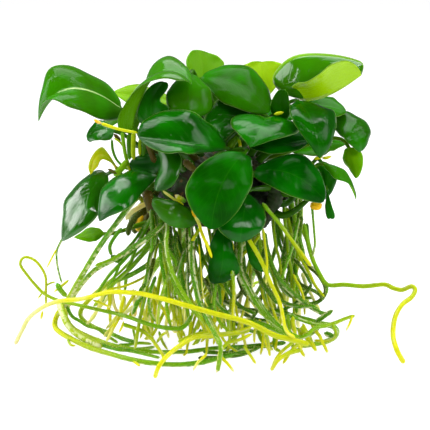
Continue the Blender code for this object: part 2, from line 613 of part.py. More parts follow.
def stalk_ring(middle, tangent, side, radius):
    """Eight points round the stalk, in the same order as round the blade."""
    upward = tangent.cross(side).normalized()
    ring = []
    for corner in range(8):
        angle = math.radians(45.0 * corner)
        ring.append(middle + side * (radius * math.cos(angle)) + upward * (radius * math.sin(angle)))
    return ring


def make_leaf(name, place, paths, material, collection):
    """One leaf: a stalk that starts on the rhizome and goes over into the blade."""
    base, middle, tip = [seen(*point) for point in place["midrib"]]
    handle = middle * 2.0 - (base + tip) * 0.5          # the arc passes through the middle

    def midrib(t):
        return base * (1 - t) ** 2 + handle * (2 * t * (1 - t)) + tip * t * t

    def midrib_direction(t):
        return ((handle - base) * (1 - t) + (tip - handle) * t).normalized()

    def width_at(t):
        return blade_width(t, place["widest"], place.get("blunt", TIP_BLUNTNESS))

    left = rim_vectors(place["left"], midrib, midrib_direction, width_at)
    right = rim_vectors(place["right"], midrib, midrib_direction, width_at)
    axis, growth = along(paths[place["branch"]], place["foot"])
    towards = across_from(base - axis, growth)
    foot = axis + towards * (RHIZOME_RADIUS + STALK_GAP)
    reach = (base - foot).length
    first = midrib_direction(0.0)
    stalk = (foot, foot + towards * (reach * STALK_RISE), base - first * (reach * STALK_RUN_IN), base)
    side = across_from(through_three(left, 0.0), first)
    stalk_side = side
    rings = []
    for step in reversed(STALK_STEPS):
        tangent = bezier_direction(stalk, step)
        stalk_side = across_from(stalk_side, tangent)
        radius = STALK_FOOT + (STALK_NECK - STALK_FOOT) * min(step * STALK_TAPER, 1.0)
        rings.insert(0, stalk_ring(bezier(stalk, step), tangent, stalk_side, radius))
    rings.append(stalk_ring(base, first, side, STALK_NECK))
    for step in BLADE_STEPS:
        left_here, right_here = through_three(left, step), through_three(right, step)
        rings.append(blade_ring(midrib(step), midrib_direction(step), left_here, right_here, width_at(step)))

    verts = [point * MM for ring in rings for point in ring] + [tip * MM]
    faces = [tuple(reversed(range(8)))]
    for row in range(len(rings) - 1):
        for corner in range(8):
            other = (corner + 1) % 8
            faces.append((row * 8 + corner, row * 8 + other, row * 8 + 8 + other, row * 8 + 8 + corner))
    last = (len(rings) - 1) * 8
    for corner in range(8):
        faces.append((last + corner, last + (corner + 1) % 8, len(verts) - 1))
    mesh = bpy.data.meshes.new(name)
    mesh.from_pydata(verts, [], faces)
    weld(mesh)
    return new_object(name, mesh, material, collection)


def root_mesh(name, width, points):
    """A tapering tube through the points of a root, pressed flat where it lies."""
    start_width, tip_width = width

    def radius_at(share):
        return 0.5 * (start_width + (tip_width - start_width) * share)

    places = []
    for index, (across, up, depth) in enumerate(points):
        if depth is None:
            height = radius_at(index / (len(points) - 1)) * GROUND_PRESS
            places.append(on_ground(across, up, height))
        else:
            places.append(seen(across, up, depth))
    path = sparse_path(places)
    radii = [radius_at(share) for point, share in path]
    radii[-1] *= ROOT_TIP
    mesh = tube_mesh(name, [point for point, share in path], radii, ROOT_BEVEL)
    for vertex in mesh.vertices:
        vertex.co.z = max(vertex.co.z, 0.0)
    return mesh


def make_root(name, place, material, collection, cutters):
    """One root, or a bundle of them that may part in forks."""
    root = new_object(name, root_mesh(name, place["width"], place["points"]), material, collection)
    for number, fork in enumerate(place.get("forks", ())):
        fork_name = f"cutter_{name}_fork_{number}"
        mesh = root_mesh(fork_name, fork["width"], fork["points"])
        join_by_union(root, [new_object(fork_name, mesh, material, cutters)])
    return root


def make_stone(material, collection):
    shape = bmesh.new()
    bmesh.ops.create_icosphere(shape, subdivisions=STONE_DETAIL, radius=1.0)
    for vertex in shape.verts:
        direction = vertex.co.normalized()
        lumps = noise.noise(direction * STONE_LUMPS_PER_RADIUS + STONE_NOISE_START)
        grain = noise.noise(direction * STONE_GRAINS_PER_RADIUS)
        size = 1.0 + STONE_LUMP_HEIGHT * (lumps - STONE_LUMP_LEVEL) + STONE_GRAIN_HEIGHT * grain
        vertex.co = (STONE_MIDDLE + direction * STONE_HALF * size + PLANT_SHIFT) * MM
    mesh = bpy.data.meshes.new("stone")
    shape.to_mesh(mesh)
    shape.free()
    return new_object("stone", mesh, material, collection)


def join_by_union(base, others):
    """Joins the other objects to the base in one closed body."""
    for other in others:
        cut = base.modifiers.new("join_" + other.name, "BOOLEAN")
        cut.operation = "UNION"
        cut.object = other
        other.hide_render = True
        other.display_type = "WIRE"


def make_rhizome(material, collection, cutters, stone):
    tubes = []
    for branch in RHIZOME:
        path = rhizome_path(branch)
        radii = []
        for index in range(len(path)):
            share = index / (len(path) - 1)
            ends = min(1.0, RHIZOME_END + RHIZOME_END_GROWTH * min(share, 1.0 - share))
            knots = RHIZOME_BODY + RHIZOME_KNOT * math.cos(index * math.pi)
            radii.append(RHIZOME_RADIUS * ends * knots)
        mesh = tube_mesh("rhizome_" + branch, path, radii, RHIZOME_BEVEL)
        target = collection if branch == "main" else cutters
        name = "rhizome" if branch == "main" else "cutter_rhizome_" + branch
        tubes.append(new_object(name, mesh, material, target))
    join_by_union(tubes[0], tubes[1:])

    bed = stone.data.copy()
    middle = Matrix.Translation((STONE_MIDDLE + PLANT_SHIFT) * MM)
    bed.transform(middle @ Matrix.Scale(STONE_BED, 4) @ middle.inverted())
    bed_cutter = new_object("cutter_stone_bed", bed, material, cutters)
    bed_cutter.hide_render = True
    bed_cutter.display_type = "WIRE"
    seat = tubes[0].modifiers.new("stone_bed", "BOOLEAN")
    seat.operation = "DIFFERENCE"
    seat.object = bed_cutter
    return tubes[0]


def main():
    for ob in list(bpy.data.objects):
        bpy.data.objects.remove(ob, do_unlink=True)
    plant = bpy.data.collections.new("anubias_on_stone")
    cutters = bpy.data.collections.new("cutters")
    bpy.context.scene.collection.children.link(plant)
    bpy.context.scene.collection.children.link(cutters)

    leaf_finish = {
        "dark": make_material("leaf_dark", LEAF_DARK, 0.22),
        "young": make_material("leaf_young", LEAF_YOUNG, 0.28),
        "old": make_material("leaf_old", LEAF_OLD, 0.45),
    }
    root_finish = {
        "green": make_material("root_green", ROOT_GREEN, 0.50),
        "yellow": make_material("root_yellow", ROOT_YELLOW, 0.45),
    }
    stone = make_stone(make_material("stone", STONE_GREY, 0.85), plant)
    make_rhizome(make_material("rhizome", RHIZOME_BROWN, 0.60), plant, cutters, stone)
    paths = {branch: rhizome_path(branch) for branch in RHIZOME}
    for name, place in LEAVES.items():
        make_leaf(name, place, paths, leaf_finish[place["finish"]], plant)
    for name, place in ROOTS.items():
        make_root(name, place, root_finish[place["finish"]], plant, cutters)


main()
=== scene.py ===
# Looks of the anubias on stone: fine leaves, roots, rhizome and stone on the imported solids.
import math
import random

import bmesh
import bpy
import numpy as np
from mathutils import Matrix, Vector, noise


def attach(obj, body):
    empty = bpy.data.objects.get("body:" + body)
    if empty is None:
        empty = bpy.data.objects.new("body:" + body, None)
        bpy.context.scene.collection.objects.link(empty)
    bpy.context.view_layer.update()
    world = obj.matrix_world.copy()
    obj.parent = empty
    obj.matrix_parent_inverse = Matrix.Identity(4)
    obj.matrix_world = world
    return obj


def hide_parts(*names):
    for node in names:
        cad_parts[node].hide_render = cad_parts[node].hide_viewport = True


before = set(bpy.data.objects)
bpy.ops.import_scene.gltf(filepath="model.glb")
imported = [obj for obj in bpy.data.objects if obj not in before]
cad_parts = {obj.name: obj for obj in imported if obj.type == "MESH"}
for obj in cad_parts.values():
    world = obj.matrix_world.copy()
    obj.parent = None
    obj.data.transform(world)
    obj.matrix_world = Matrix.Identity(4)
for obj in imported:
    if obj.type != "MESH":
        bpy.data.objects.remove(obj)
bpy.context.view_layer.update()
print("frame loaded")

mm = 0.001
noiseSeed = 11               # keeps the sway of the roots the same in each run
noise.seed_set(noiseSeed)

# How the plant is looked at: places are given as seen from there, in millimetres across, up
# and in depth behind the plant's middle (nearer is negative).
plantView = dict(tilt=13.0, distance=1300.0, middle=(-1.0, 0.0, 66.0), shift=(0.6, 1.6, 0.0))
viewTilt = math.radians(plantView["tilt"])
viewMiddle = Vector(plantView["middle"])
plantShift = Vector(plantView["shift"])
viewUp = Vector((0.0, math.sin(viewTilt), math.cos(viewTilt)))
viewBack = Vector((0.0, -math.cos(viewTilt), math.sin(viewTilt)))
eye = viewMiddle + viewBack * plantView["distance"]

# The picture's frame: its size in pixels, where across and up are 0 in it, and millimetres per pixel.
pictureFrame = dict(pixels=430, zeroAcross=217.0, zeroUp=332.0, scale=0.55)


def rayTo(across, up):
    rise = up - viewMiddle.z * math.cos(viewTilt)
    return viewMiddle + Vector((across - viewMiddle.x, 0.0, 0.0)) + viewUp * rise - eye


def seen(across, up, depth):
    # the point that is seen there, at a depth
    ray = rayTo(across, up)
    return eye + ray * ((depth - eye.y) / ray.y) + plantShift


def onGround(across, up, height):
    # the point that is seen there, at a height above the ground
    ray = rayTo(across, up)
    return eye + ray * ((height - eye.z) / ray.z) + plantShift


def pictured(pixel):
    # across and up of a place in the picture's frame
    scale = pictureFrame["scale"]
    return (pixel[0] - pictureFrame["zeroAcross"]) * scale, (pictureFrame["zeroUp"] - pixel[1]) * scale


def grouped(numbers, size):
    # a row of numbers as places of two or three numbers each
    return [tuple(numbers[at:at + size]) for at in range(0, len(numbers), size)]


def smoothPath(points, steps):
    # a curve through all the points
    path = []
    for index in range(len(points) - 1):
        before = points[max(index - 1, 0)]
        here, there = points[index], points[index + 1]
        after = points[min(index + 2, len(points) - 1)]
        for step in range(steps):
            t = step / steps
            path.append(0.5 * (2.0 * here + (there - before) * t
                               + (2.0 * before - 5.0 * here + 4.0 * there - after) * t * t
                               + (3.0 * here - before - 3.0 * there + after) * t ** 3))
    path.append(points[-1].copy())
    return path


def lengthsAlong(path):
    lengths = [0.0]
    for before, after in zip(path, path[1:]):
        lengths.append(lengths[-1] + (after - before).length)
    return lengths


def evenPath(points, spacing, fineSteps=8):
    # a smooth curve through the points, with even steps, and its length
    fine = smoothPath(points, fineSteps)
    lengths = lengthsAlong(fine)
    count = max(int(lengths[-1] / spacing), 3)
    path = []
    index = 0
    for step in range(count + 1):
        target = lengths[-1] * step / count
        while index < len(fine) - 2 and lengths[index + 1] < target:
            index += 1
        span = max(lengths[index + 1] - lengths[index], 1e-9)
        path.append(fine[index].lerp(fine[index + 1], min((target - lengths[index]) / span, 1.0)))
    return path, lengths[-1]


def alongPath(path, share):
    # the point at a share of the path's length, and the path's direction there
    lengths = lengthsAlong(path)
    target = lengths[-1] * share
    index = next(step for step in range(len(path) - 1) if lengths[step + 1] >= target)
    t = (target - lengths[index]) / (lengths[index + 1] - lengths[index])
    return path[index].lerp(path[index + 1], t), (path[index + 1] - path[index]).normalized()


def bezier(points, t):
    first, second, third, fourth = points
    s = 1.0 - t
    return first * s ** 3 + second * (3 * s * s * t) + third * (3 * s * t * t) + fourth * t ** 3


def bezierDirection(points, t):
    first, second, third, fourth = points
    s = 1.0 - t
    slope = (second - first) * s * s + (third - second) * (2 * s * t) + (fourth - third) * t * t
    return slope.normalized()


def acrossFrom(direction, tangent):
    # the part of a direction that stands square to the tangent
    return (direction - tangent * direction.dot(tangent)).normalized()


def smoothStep(low, high, value):
    share = min(max((value - low) / (high - low), 0.0), 1.0)
    return share * share * (3.0 - 2.0 * share)


def fill(tree, node, values):
    # a node's output is linked to the socket, and a plain value is set on the socket itself
    for socket, value in values.items():
        if isinstance(value, bpy.types.NodeSocket):
            tree.links.new(value, node.inputs[socket])
        else:
            node.inputs[socket].default_value = value


def add(tree, kind, values=None, **settings):
    node = tree.nodes.new(kind)
    for key, value in settings.items():
        setattr(node, key, value)
    fill(tree, node, values or {})
    return node


def calc(tree, operation, *values):
    return add(tree, "ShaderNodeMath", dict(enumerate(values)), operation=operation).outputs[0]


def scaled(tree, value, factor, start=0.0):
    # the value times the factor, plus the start
    return calc(tree, "MULTIPLY_ADD", value, factor, start)


def summed(tree, total, *terms):
    # a total to which each value is added times its factor
    for value, factor in terms:
        total = scaled(tree, value, factor, total)
    return total


def ramped(tree, value, low, high, start=0.0, end=1.0):
    node = add(tree, "ShaderNodeMapRange", {0: value, 1: low, 2: high, 3: start, 4: end},
               interpolation_type="SMOOTHSTEP")
    return node.outputs[0]


def mixed(tree, share, first, second):
    first, second = [(*colour, 1.0) if isinstance(colour, tuple) else colour for colour in (first, second)]
    return add(tree, "ShaderNodeMix", {0: share, 6: first, 7: second}, data_type="RGBA").outputs[2]


def layered(tree, colour, *layers):
    # a colour with others over it, each with its share
    for share, over in layers:
        colour = mixed(tree, share, colour, over)
    return colour


def grain(tree, place, scale, detail, roughness=0.5):
    values = {"Vector": place, "Scale": scale, "Detail": detail, "Roughness": roughness}
    return add(tree, "ShaderNodeTexNoise", values).outputs["Fac"]


def pieceValue(tree, name):
    # a value that each point of the piece carries
    return add(tree, "ShaderNodeAttribute", attribute_name=name).outputs["Fac"]


def lineMask(tree, value, count, width):
    # thin lines across a value: 1 on a line, 0 between two of them
    away = calc(tree, "PINGPONG", scaled(tree, value, count), 0.5)
    return ramped(tree, away, 0.0, width, 1.0, 0.0)


def startFinish(name):
    material = bpy.data.materials.new(name)
    material.use_nodes = True
    return material, material.node_tree


def onPiece(tree):
    # the place on the piece that its grains follow
    return add(tree, "ShaderNodeTexCoord").outputs["Object"]


def endFinish(tree, relief, bump, **values):
    # the relief, its height in metres, and the values of the shader's sockets
    bumped = add(tree, "ShaderNodeBump", {"Height": relief, "Distance": bump, "Strength": 1.0})
    sockets = {name.replace("_", " "): value for name, value in values.items()}
    fill(tree, tree.nodes["Principled BSDF"], {"Normal": bumped.outputs[0], **sockets})


# each kind of leaf: the colours of its upper side from deep to light, of its underside, veins, rim with
# a painted edge highlight, and stalk, how much light comes through it, how dull its gloss is and how strong
leafLook = dict(
    dark=dict(deep=(0.0004, 0.050, 0.0002), body=(0.0020, 0.130, 0.0005), light=(0.090, 0.340, 0.0015),
              under=(0.070, 0.290, 0.001), lime=(0.380, 0.660, 0.001), vein=(0.020, 0.190, 0.003),
              rim=(0.340, 0.560, 0.170), stalk=(0.030, 0.110, 0.002), thin=0.0, gloss=0.035, shine=0.085),
    young=dict(deep=(0.060, 0.230, 0.001), body=(0.110, 0.320, 0.001), light=(0.300, 0.500, 0.002),
               under=(0.075, 0.215, 0.001), lime=(0.480, 0.690, 0.001), vein=(0.140, 0.380, 0.004),
               rim=(0.320, 0.480, 0.050), stalk=(0.060, 0.150, 0.002), thin=0.25, gloss=0.16, shine=0.050),
    old=dict(deep=(0.260, 0.340, 0.001), body=(0.500, 0.570, 0.001), light=(0.620, 0.550, 0.002),
             under=(0.500, 0.430, 0.010), lime=(0.520, 0.560, 0.004), vein=(0.480, 0.500, 0.030),
             rim=(0.700, 0.500, 0.060), stalk=(0.260, 0.300, 0.006), thin=0.30, gloss=0.30, shine=0.06),
)
# what all leaves share; a grain is its scale, detail and roughness, and a level is where a change
# starts and ends
leafSurface = dict(
    patches=(55.0, 3.0), patchLevel=(0.35, 0.70), speckle=(900.0, 2.0), speckleLevel=(0.50, 0.75),
    speckleDull=0.06, speckleRelief=0.04, veins=(11.0, 0.10), fineVeins=(64.0, 0.30), veinBow=0.42,
    veinCurve=0.80, veinWander=0.03, veinShare=(0.75, 0.25), veinStrength=0.16, underVeins=0.07,
    veinRelief=(-0.35, -0.04), ribWidth=0.030, ribStrength=0.34, rimStart=0.968, rimPaleAndGlintStrength=0.75,
    stalkEnd=0.05, stalkStrength=0.85, streaks=(34.0, 3.5), streakShift=40.0, streakGrain=(1.0, 3.0, 0.6),
    streakLevel=(0.50, 0.68), streakDull=0.10, streakRelief=1.0, underDull=0.22, waves=(160.0, 2.0),
    # ribGlint is a painted highlight: its colour, and the levels at which it shows on the midrib and in the
    # streaks
    waveRelief=1.2, bump=0.00008, ribGlint=(0.500, 0.700, 0.260), ribGlintLevel=(0.40, 1.0),
    ribGlintStreaks=(0.36, 0.58), thinRadius=(0.0006, 0.0016, 0.0002))


def leafFinish(kind, look):
    surface = leafSurface
    material, tree = startFinish("leaf_" + kind)
    place = onPiece(tree)
    leafMap = add(tree, "ShaderNodeUVMap", uv_map="leafMap").outputs[0]
    across, along, _ = add(tree, "ShaderNodeSeparateXYZ", {0: leafMap}).outputs
    upper, tone, sheen, lime, ribGlint = [
        pieceValue(tree, name) for name in ("upper", "tone", "sheen", "lime", "ribGlint")]
    side = calc(tree, "ABSOLUTE", scaled(tree, across, 2.0, -1.0))
    patches = grain(tree, place, *surface["patches"])
    speckle = grain(tree, place, *surface["speckle"])

    # streaks run along the blade, and a little across the veins
    lanes = {0: scaled(tree, across, surface["streaks"][0]),
             1: scaled(tree, along, surface["streaks"][1], scaled(tree, tone, surface["streakShift"]))}
    streaks = grain(tree, add(tree, "ShaderNodeCombineXYZ", lanes).outputs[0], *surface["streakGrain"])

    # veins leave the midrib and bow towards the tip
    bow = scaled(tree, calc(tree, "POWER", side, surface["veinCurve"]), surface["veinBow"])
    lane = scaled(tree, patches, surface["veinWander"], calc(tree, "SUBTRACT", along, bow))
    veins = lineMask(tree, lane, *surface["veins"])
    fineVeins = lineMask(tree, lane, *surface["fineVeins"])
    rib = ramped(tree, side, 0.0, surface["ribWidth"], 1.0, 0.0)
    # the rim band: a paler leaf margin with a painted edge highlight on it
    rim = ramped(tree, side, surface["rimStart"], 1.0)
    strong, weak = surface["veinShare"]
    marks = scaled(tree, veins, strong, scaled(tree, fineVeins, weak))

    above = layered(tree, look["deep"], (ramped(tree, patches, *surface["patchLevel"]), look["body"]),
                    (tone, look["light"]), (scaled(tree, marks, surface["veinStrength"]), look["vein"]),
                    (scaled(tree, rib, surface["ribStrength"]), look["vein"]))
    below = layered(tree, look["under"], (lime, look["lime"]),
                    (scaled(tree, marks, surface["underVeins"]), look["vein"]))
    stalk = ramped(tree, along, 0.0, surface["stalkEnd"], surface["stalkStrength"], 0.0)
    # a painted highlight: pale streaks laid along the marked stretch of the midrib
    paintedGlint = calc(tree, "MULTIPLY", ramped(tree, ribGlint, *surface["ribGlintLevel"]),
                 ramped(tree, streaks, *surface["ribGlintStreaks"]))
    colour = layered(tree, below, (upper, above), (stalk, look["stalk"]),
                     (scaled(tree, rim, surface["rimPaleAndGlintStrength"]), look["rim"]), (paintedGlint, surface["ribGlint"]))

    dull = summed(tree, look["gloss"],
                  (ramped(tree, speckle, *surface["speckleLevel"]), surface["speckleDull"]),
                  (calc(tree, "SUBTRACT", 1.0, upper), surface["underDull"]),
                  (ramped(tree, streaks, *surface["streakLevel"]), surface["streakDull"]))
    strong, weak = surface["veinRelief"]
    relief = summed(tree, scaled(tree, fineVeins, weak), (veins, strong),
                    (speckle, surface["speckleRelief"]), (streaks, surface["streakRelief"]),
                    (grain(tree, place, *surface["waves"]), surface["waveRelief"]))
    endFinish(tree, relief, surface["bump"], Base_Color=colour, Roughness=dull,
              Specular_IOR_Level=scaled(tree, sheen, look["shine"]), Subsurface_Weight=look["thin"],
              Subsurface_Radius=surface["thinRadius"], Subsurface_Scale=1.0)
    return material


rootLook = dict(
    colours=((0.00, (0.090, 0.055, 0.004)), (0.12, (0.046, 0.120, 0.001)), (0.28, (0.090, 0.330, 0.001)),
             (0.44, (0.240, 0.460, 0.001)), (0.62, (0.560, 0.610, 0.001)), (0.80, (0.780, 0.760, 0.002)),
             (0.90, (0.900, 0.880, 0.400)), (1.00, (0.840, 0.480, 0.003))),
    patches=(130.0, 2.0), patchShare=0.12, skin=(260.0, 3.0, 0.6), skinGlintLevel=(0.42, 0.52),
    skinGlintColour=(0.820, 0.830, 0.480), skinGlintShare=0.88, speckle=(1500.0, 3.0, 0.65),
    hairColour=(0.620, 0.680, 0.180), hairShare=0.65, hairLevel=(0.63, 0.72), hairDull=0.25,
    lumps=(420.0, 2.0), lumpRelief=1.5, bump=0.00030, roughness=0.50, shine=0.08, coat=0.18,
    coatRoughness=0.08, thin=0.08, thinRadius=(0.0012, 0.0016, 0.0001))


def rootFinish(name, look):
    # "ripe" runs from old and dark, over green and yellow, to the pale growing tips
    material, tree = startFinish(name)
    place = onPiece(tree)
    ripe, hairy, skinGlinted = [pieceValue(tree, label) for label in ("ripe", "hairy", "skin")]
    speckle = grain(tree, place, *look["speckle"])
    patchy = calc(tree, "SUBTRACT", grain(tree, place, *look["patches"]), 0.5)
    ramp = add(tree, "ShaderNodeValToRGB", {0: scaled(tree, patchy, look["patchShare"], ripe)})
    stops = ramp.color_ramp.elements
    for index, (position, colour) in enumerate(look["colours"]):
        stop = stops[index] if index < 2 else stops.new(position)
        stop.position = position
        stop.color = (*colour, 1.0)
    hairs = calc(tree, "MULTIPLY", ramped(tree, speckle, *look["hairLevel"]), hairy)
    # the strips: pale skin with a painted highlight, on the side of each root turned towards a lamp or the
    # glowing floor
    flakes = ramped(tree, grain(tree, place, *look["skin"]), *look["skinGlintLevel"], 0.0, look["skinGlintShare"])
    colour = layered(tree, ramp.outputs[0], (scaled(tree, hairs, look["hairShare"]), look["hairColour"]),
                     (calc(tree, "MULTIPLY", skinGlinted, flakes), look["skinGlintColour"]))
    relief = scaled(tree, grain(tree, place, *look["lumps"]), look["lumpRelief"], speckle)
    endFinish(tree, relief, look["bump"], Base_Color=colour,
              Roughness=scaled(tree, hairs, look["hairDull"], look["roughness"]),
              Specular_IOR_Level=look["shine"], Coat_Weight=look["coat"],
              Coat_Roughness=look["coatRoughness"], Subsurface_Weight=look["thin"],
              Subsurface_Radius=look["thinRadius"], Subsurface_Scale=1.0)
    return material


stoneLook = dict(dark=(0.002, 0.002, 0.002), body=(0.009, 0.009, 0.008), dust=(0.034, 0.030, 0.022),
                 moss=(0.010, 0.026, 0.004), grit=(700.0, 4.0, 0.7), gritLevel=(0.35, 0.70),
                 patches=(60.0, 4.0, 0.6), dustLevel=(0.56, 0.72, 0.0, 0.55), mossPatches=(38.0, 3.0),
                 mossLevel=(0.52, 0.66, 0.0, 0.6), pitShadeShare=0.75, roughness=(0.41, 0.76),
                 roughLevel=(0.3, 0.7), shine=0.22, bump=0.0008)


def stoneFinish(name, look):
    material, tree = startFinish(name)
    place = onPiece(tree)
    patches = grain(tree, place, *look["patches"])
    grit = grain(tree, place, *look["grit"])
    mossy = ramped(tree, grain(tree, place, *look["mossPatches"]), *look["mossLevel"])
    colour = layered(tree, look["dark"], (ramped(tree, grit, *look["gritLevel"]), look["body"]),
                     (ramped(tree, patches, *look["dustLevel"]), look["dust"]), (mossy, look["moss"]),
                     # painted shade: the pits are darkened towards the darkest stone colour
                     (scaled(tree, pieceValue(tree, "pitShade"), look["pitShadeShare"]), look["dark"]))
    dull = ramped(tree, patches, *look["roughLevel"], *look["roughness"])
    endFinish(tree, grit, look["bump"], Base_Color=colour, Roughness=dull, Specular_IOR_Level=look["shine"])
    return material


rhizomeLook = dict(green=(0.016, 0.040, 0.004), brown=(0.026, 0.014, 0.005), rust=(0.200, 0.080, 0.012),
                   patches=(120.0, 3.0, 0.6), brownLevel=(0.42, 0.60), rustPatches=(210.0, 3.0),
                   rustLevel=(0.58, 0.72, 0.0, 0.60), grit=(1100.0, 3.0, 0.6), roughness=0.48,
                   shine=0.30, bump=0.0005)


def rhizomeFinish(name, look):
    material, tree = startFinish(name)
    place = onPiece(tree)
    browned = ramped(tree, grain(tree, place, *look["patches"]), *look["brownLevel"])
    rusty = ramped(tree, grain(tree, place, *look["rustPatches"]), *look["rustLevel"])
    colour = layered(tree, look["green"], (browned, look["brown"]), (rusty, look["rust"]))
    endFinish(tree, grain(tree, place, *look["grit"]), look["bump"], Base_Color=colour,
              Roughness=look["roughness"], Specular_IOR_Level=look["shine"])
    return material


leafFinishes = {kind: leafFinish(kind, look) for kind, look in leafLook.items()}
rootMaterial = rootFinish("root_skin", rootLook)
stoneMaterial = stoneFinish("lava", stoneLook)
rhizomeMaterial = rhizomeFinish("rhizome_bark", rhizomeLook)
print("finishes made")


def addObject(name, data):
    item = bpy.data.objects.new(name, data)
    bpy.context.scene.collection.objects.link(item)
    return item


def builtMesh(name, build, material):
    mesh = bpy.data.meshes.new(name)
    build.to_mesh(mesh)
    build.free()
    mesh.materials.append(material)
    return mesh


def newPiece(name, verts, faces, material, pointValues=None, leafMap=None):
    mesh = bpy.data.meshes.new(name)
    mesh.from_pydata([tuple(vert) for vert in verts], [], faces)
    for label, values in (pointValues or {}).items():
        mesh.attributes.new(label, "FLOAT", "POINT").data.foreach_set("value", values)
    if leafMap:
        corners = np.zeros(len(mesh.loops), np.int32)
        mesh.loops.foreach_get("vertex_index", corners)
        mesh.uv_layers.new(name="leafMap").data.foreach_set("uv", np.array(leafMap)[corners].ravel())
    mesh.materials.append(material)
    mesh.shade_smooth()
    return addObject(name, mesh)


def settle(piece, slot, *nodes):
    # the piece rides with the plant and stands for these solids
    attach(piece, "root")
    if nodes:
        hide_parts(*nodes)
    return piece


def ringFaces(rows, count):
    # the faces between rings of points that follow each other
    faces = []
    for row in range(rows - 1):
        for corner in range(count):
            other = (corner + 1) % count
            faces.append((row * count + corner, row * count + other,
                          (row + 1) * count + other, (row + 1) * count + corner))
    return faces


def joined(parts):
    # the points, in metres, and the faces of several parts in one mesh
    verts, faces, start = [], [], 0
    for partVerts, partFaces in parts:
        verts.append(partVerts * mm)
        faces += [tuple(start + corner for corner in face) for face in partFaces]
        start += len(partVerts)
    return np.concatenate(verts), faces


stoneShape = dict(middle=(3.0, 5.0, 77.0), half=(37.0, 32.0, 20.0), noiseStart=(4.0, 1.0, 7.0), lumps=1.7,
                  lumpHeight=0.16, lumpLevel=0.25, grains=5.0, grainHeight=0.027, detail=6,
                  pitSizes=((5.5, 1.9), (11.0, 1.1)), pitEdge=(0.10, 0.42), roughness=0.55,
                  roughNoise=(14.0, 1.0, 2.1, 4))
stoneMiddle = Vector(stoneShape["middle"]) + plantShift
stoneHalf = Vector(stoneShape["half"])
rhizomeShape = dict(radius=4.6, sink=1.2, body=0.94, end=0.72, endGrowth=2.2, sides=28, step=0.5,
                    ringSpacing=2.6, ringDepth=0.09, ringSharpness=6, ringShift=0.8, lumpiness=0.10,
                    lumps=0.22, bark=0.5, barkHeight=0.35, tipLength=3.0, leastEnd=0.03, pathSteps=4)
# the rhizome's branches over the stone, as in the solids: the angle round the stone and the
# angle above the level, in degrees
rhizomeBranches = {
    "main": [(218, -18), (228, 12), (238, 42), (262, 66), (296, 66), (316, 42), (322, 8), (312, -22)],
    "rear_left": [(250, 62), (180, 84), (118, 60), (106, 26), (112, -4)],
    "rear_right": [(292, 62), (10, 78), (40, 50), (52, 18)],
}


def overStone(azimuth, elevation, lift):
    turn, rise = math.radians(azimuth), math.radians(elevation)
    direction = Vector((math.cos(turn) * math.cos(rise), math.sin(turn) * math.cos(rise), math.sin(rise)))
    inverse = Vector([1.0 / half for half in stoneHalf])
    surface = direction / (direction * inverse).length
    normal = (surface * inverse * inverse).normalized()
    return stoneMiddle + surface + normal * lift


def rhizomePath(branch):
    lift = rhizomeShape["radius"] - rhizomeShape["sink"]
    places = [overStone(*angles, lift) for angles in rhizomeBranches[branch]]
    return smoothPath(places, rhizomeShape["pathSteps"])


leafShape = dict(alongSteps=40, firstStep=0.15, halfSteps=10, stalkSteps=12, thickness=0.55,
                 rimThickness=0.34, rimRoundness=8, bulge=0.10, bulgeEase=1.1, baseRoundness=0.55,
                 stalkFoot=2.1, stalkNeck=1.05, stalkTaper=1.6, stalkRise=0.35, stalkRunIn=0.30,
                 footGap=0.4, footDepth=2.0, ribBelow=0.55, neckLength=0.05, wave=0.035, waves=2.2,
                 secondWave=1.9, secondHeight=0.5, wavePhase=6.28, seed=11)
rimStations = dict(at=(0.2, 0.5, 0.8), ease=0.05)
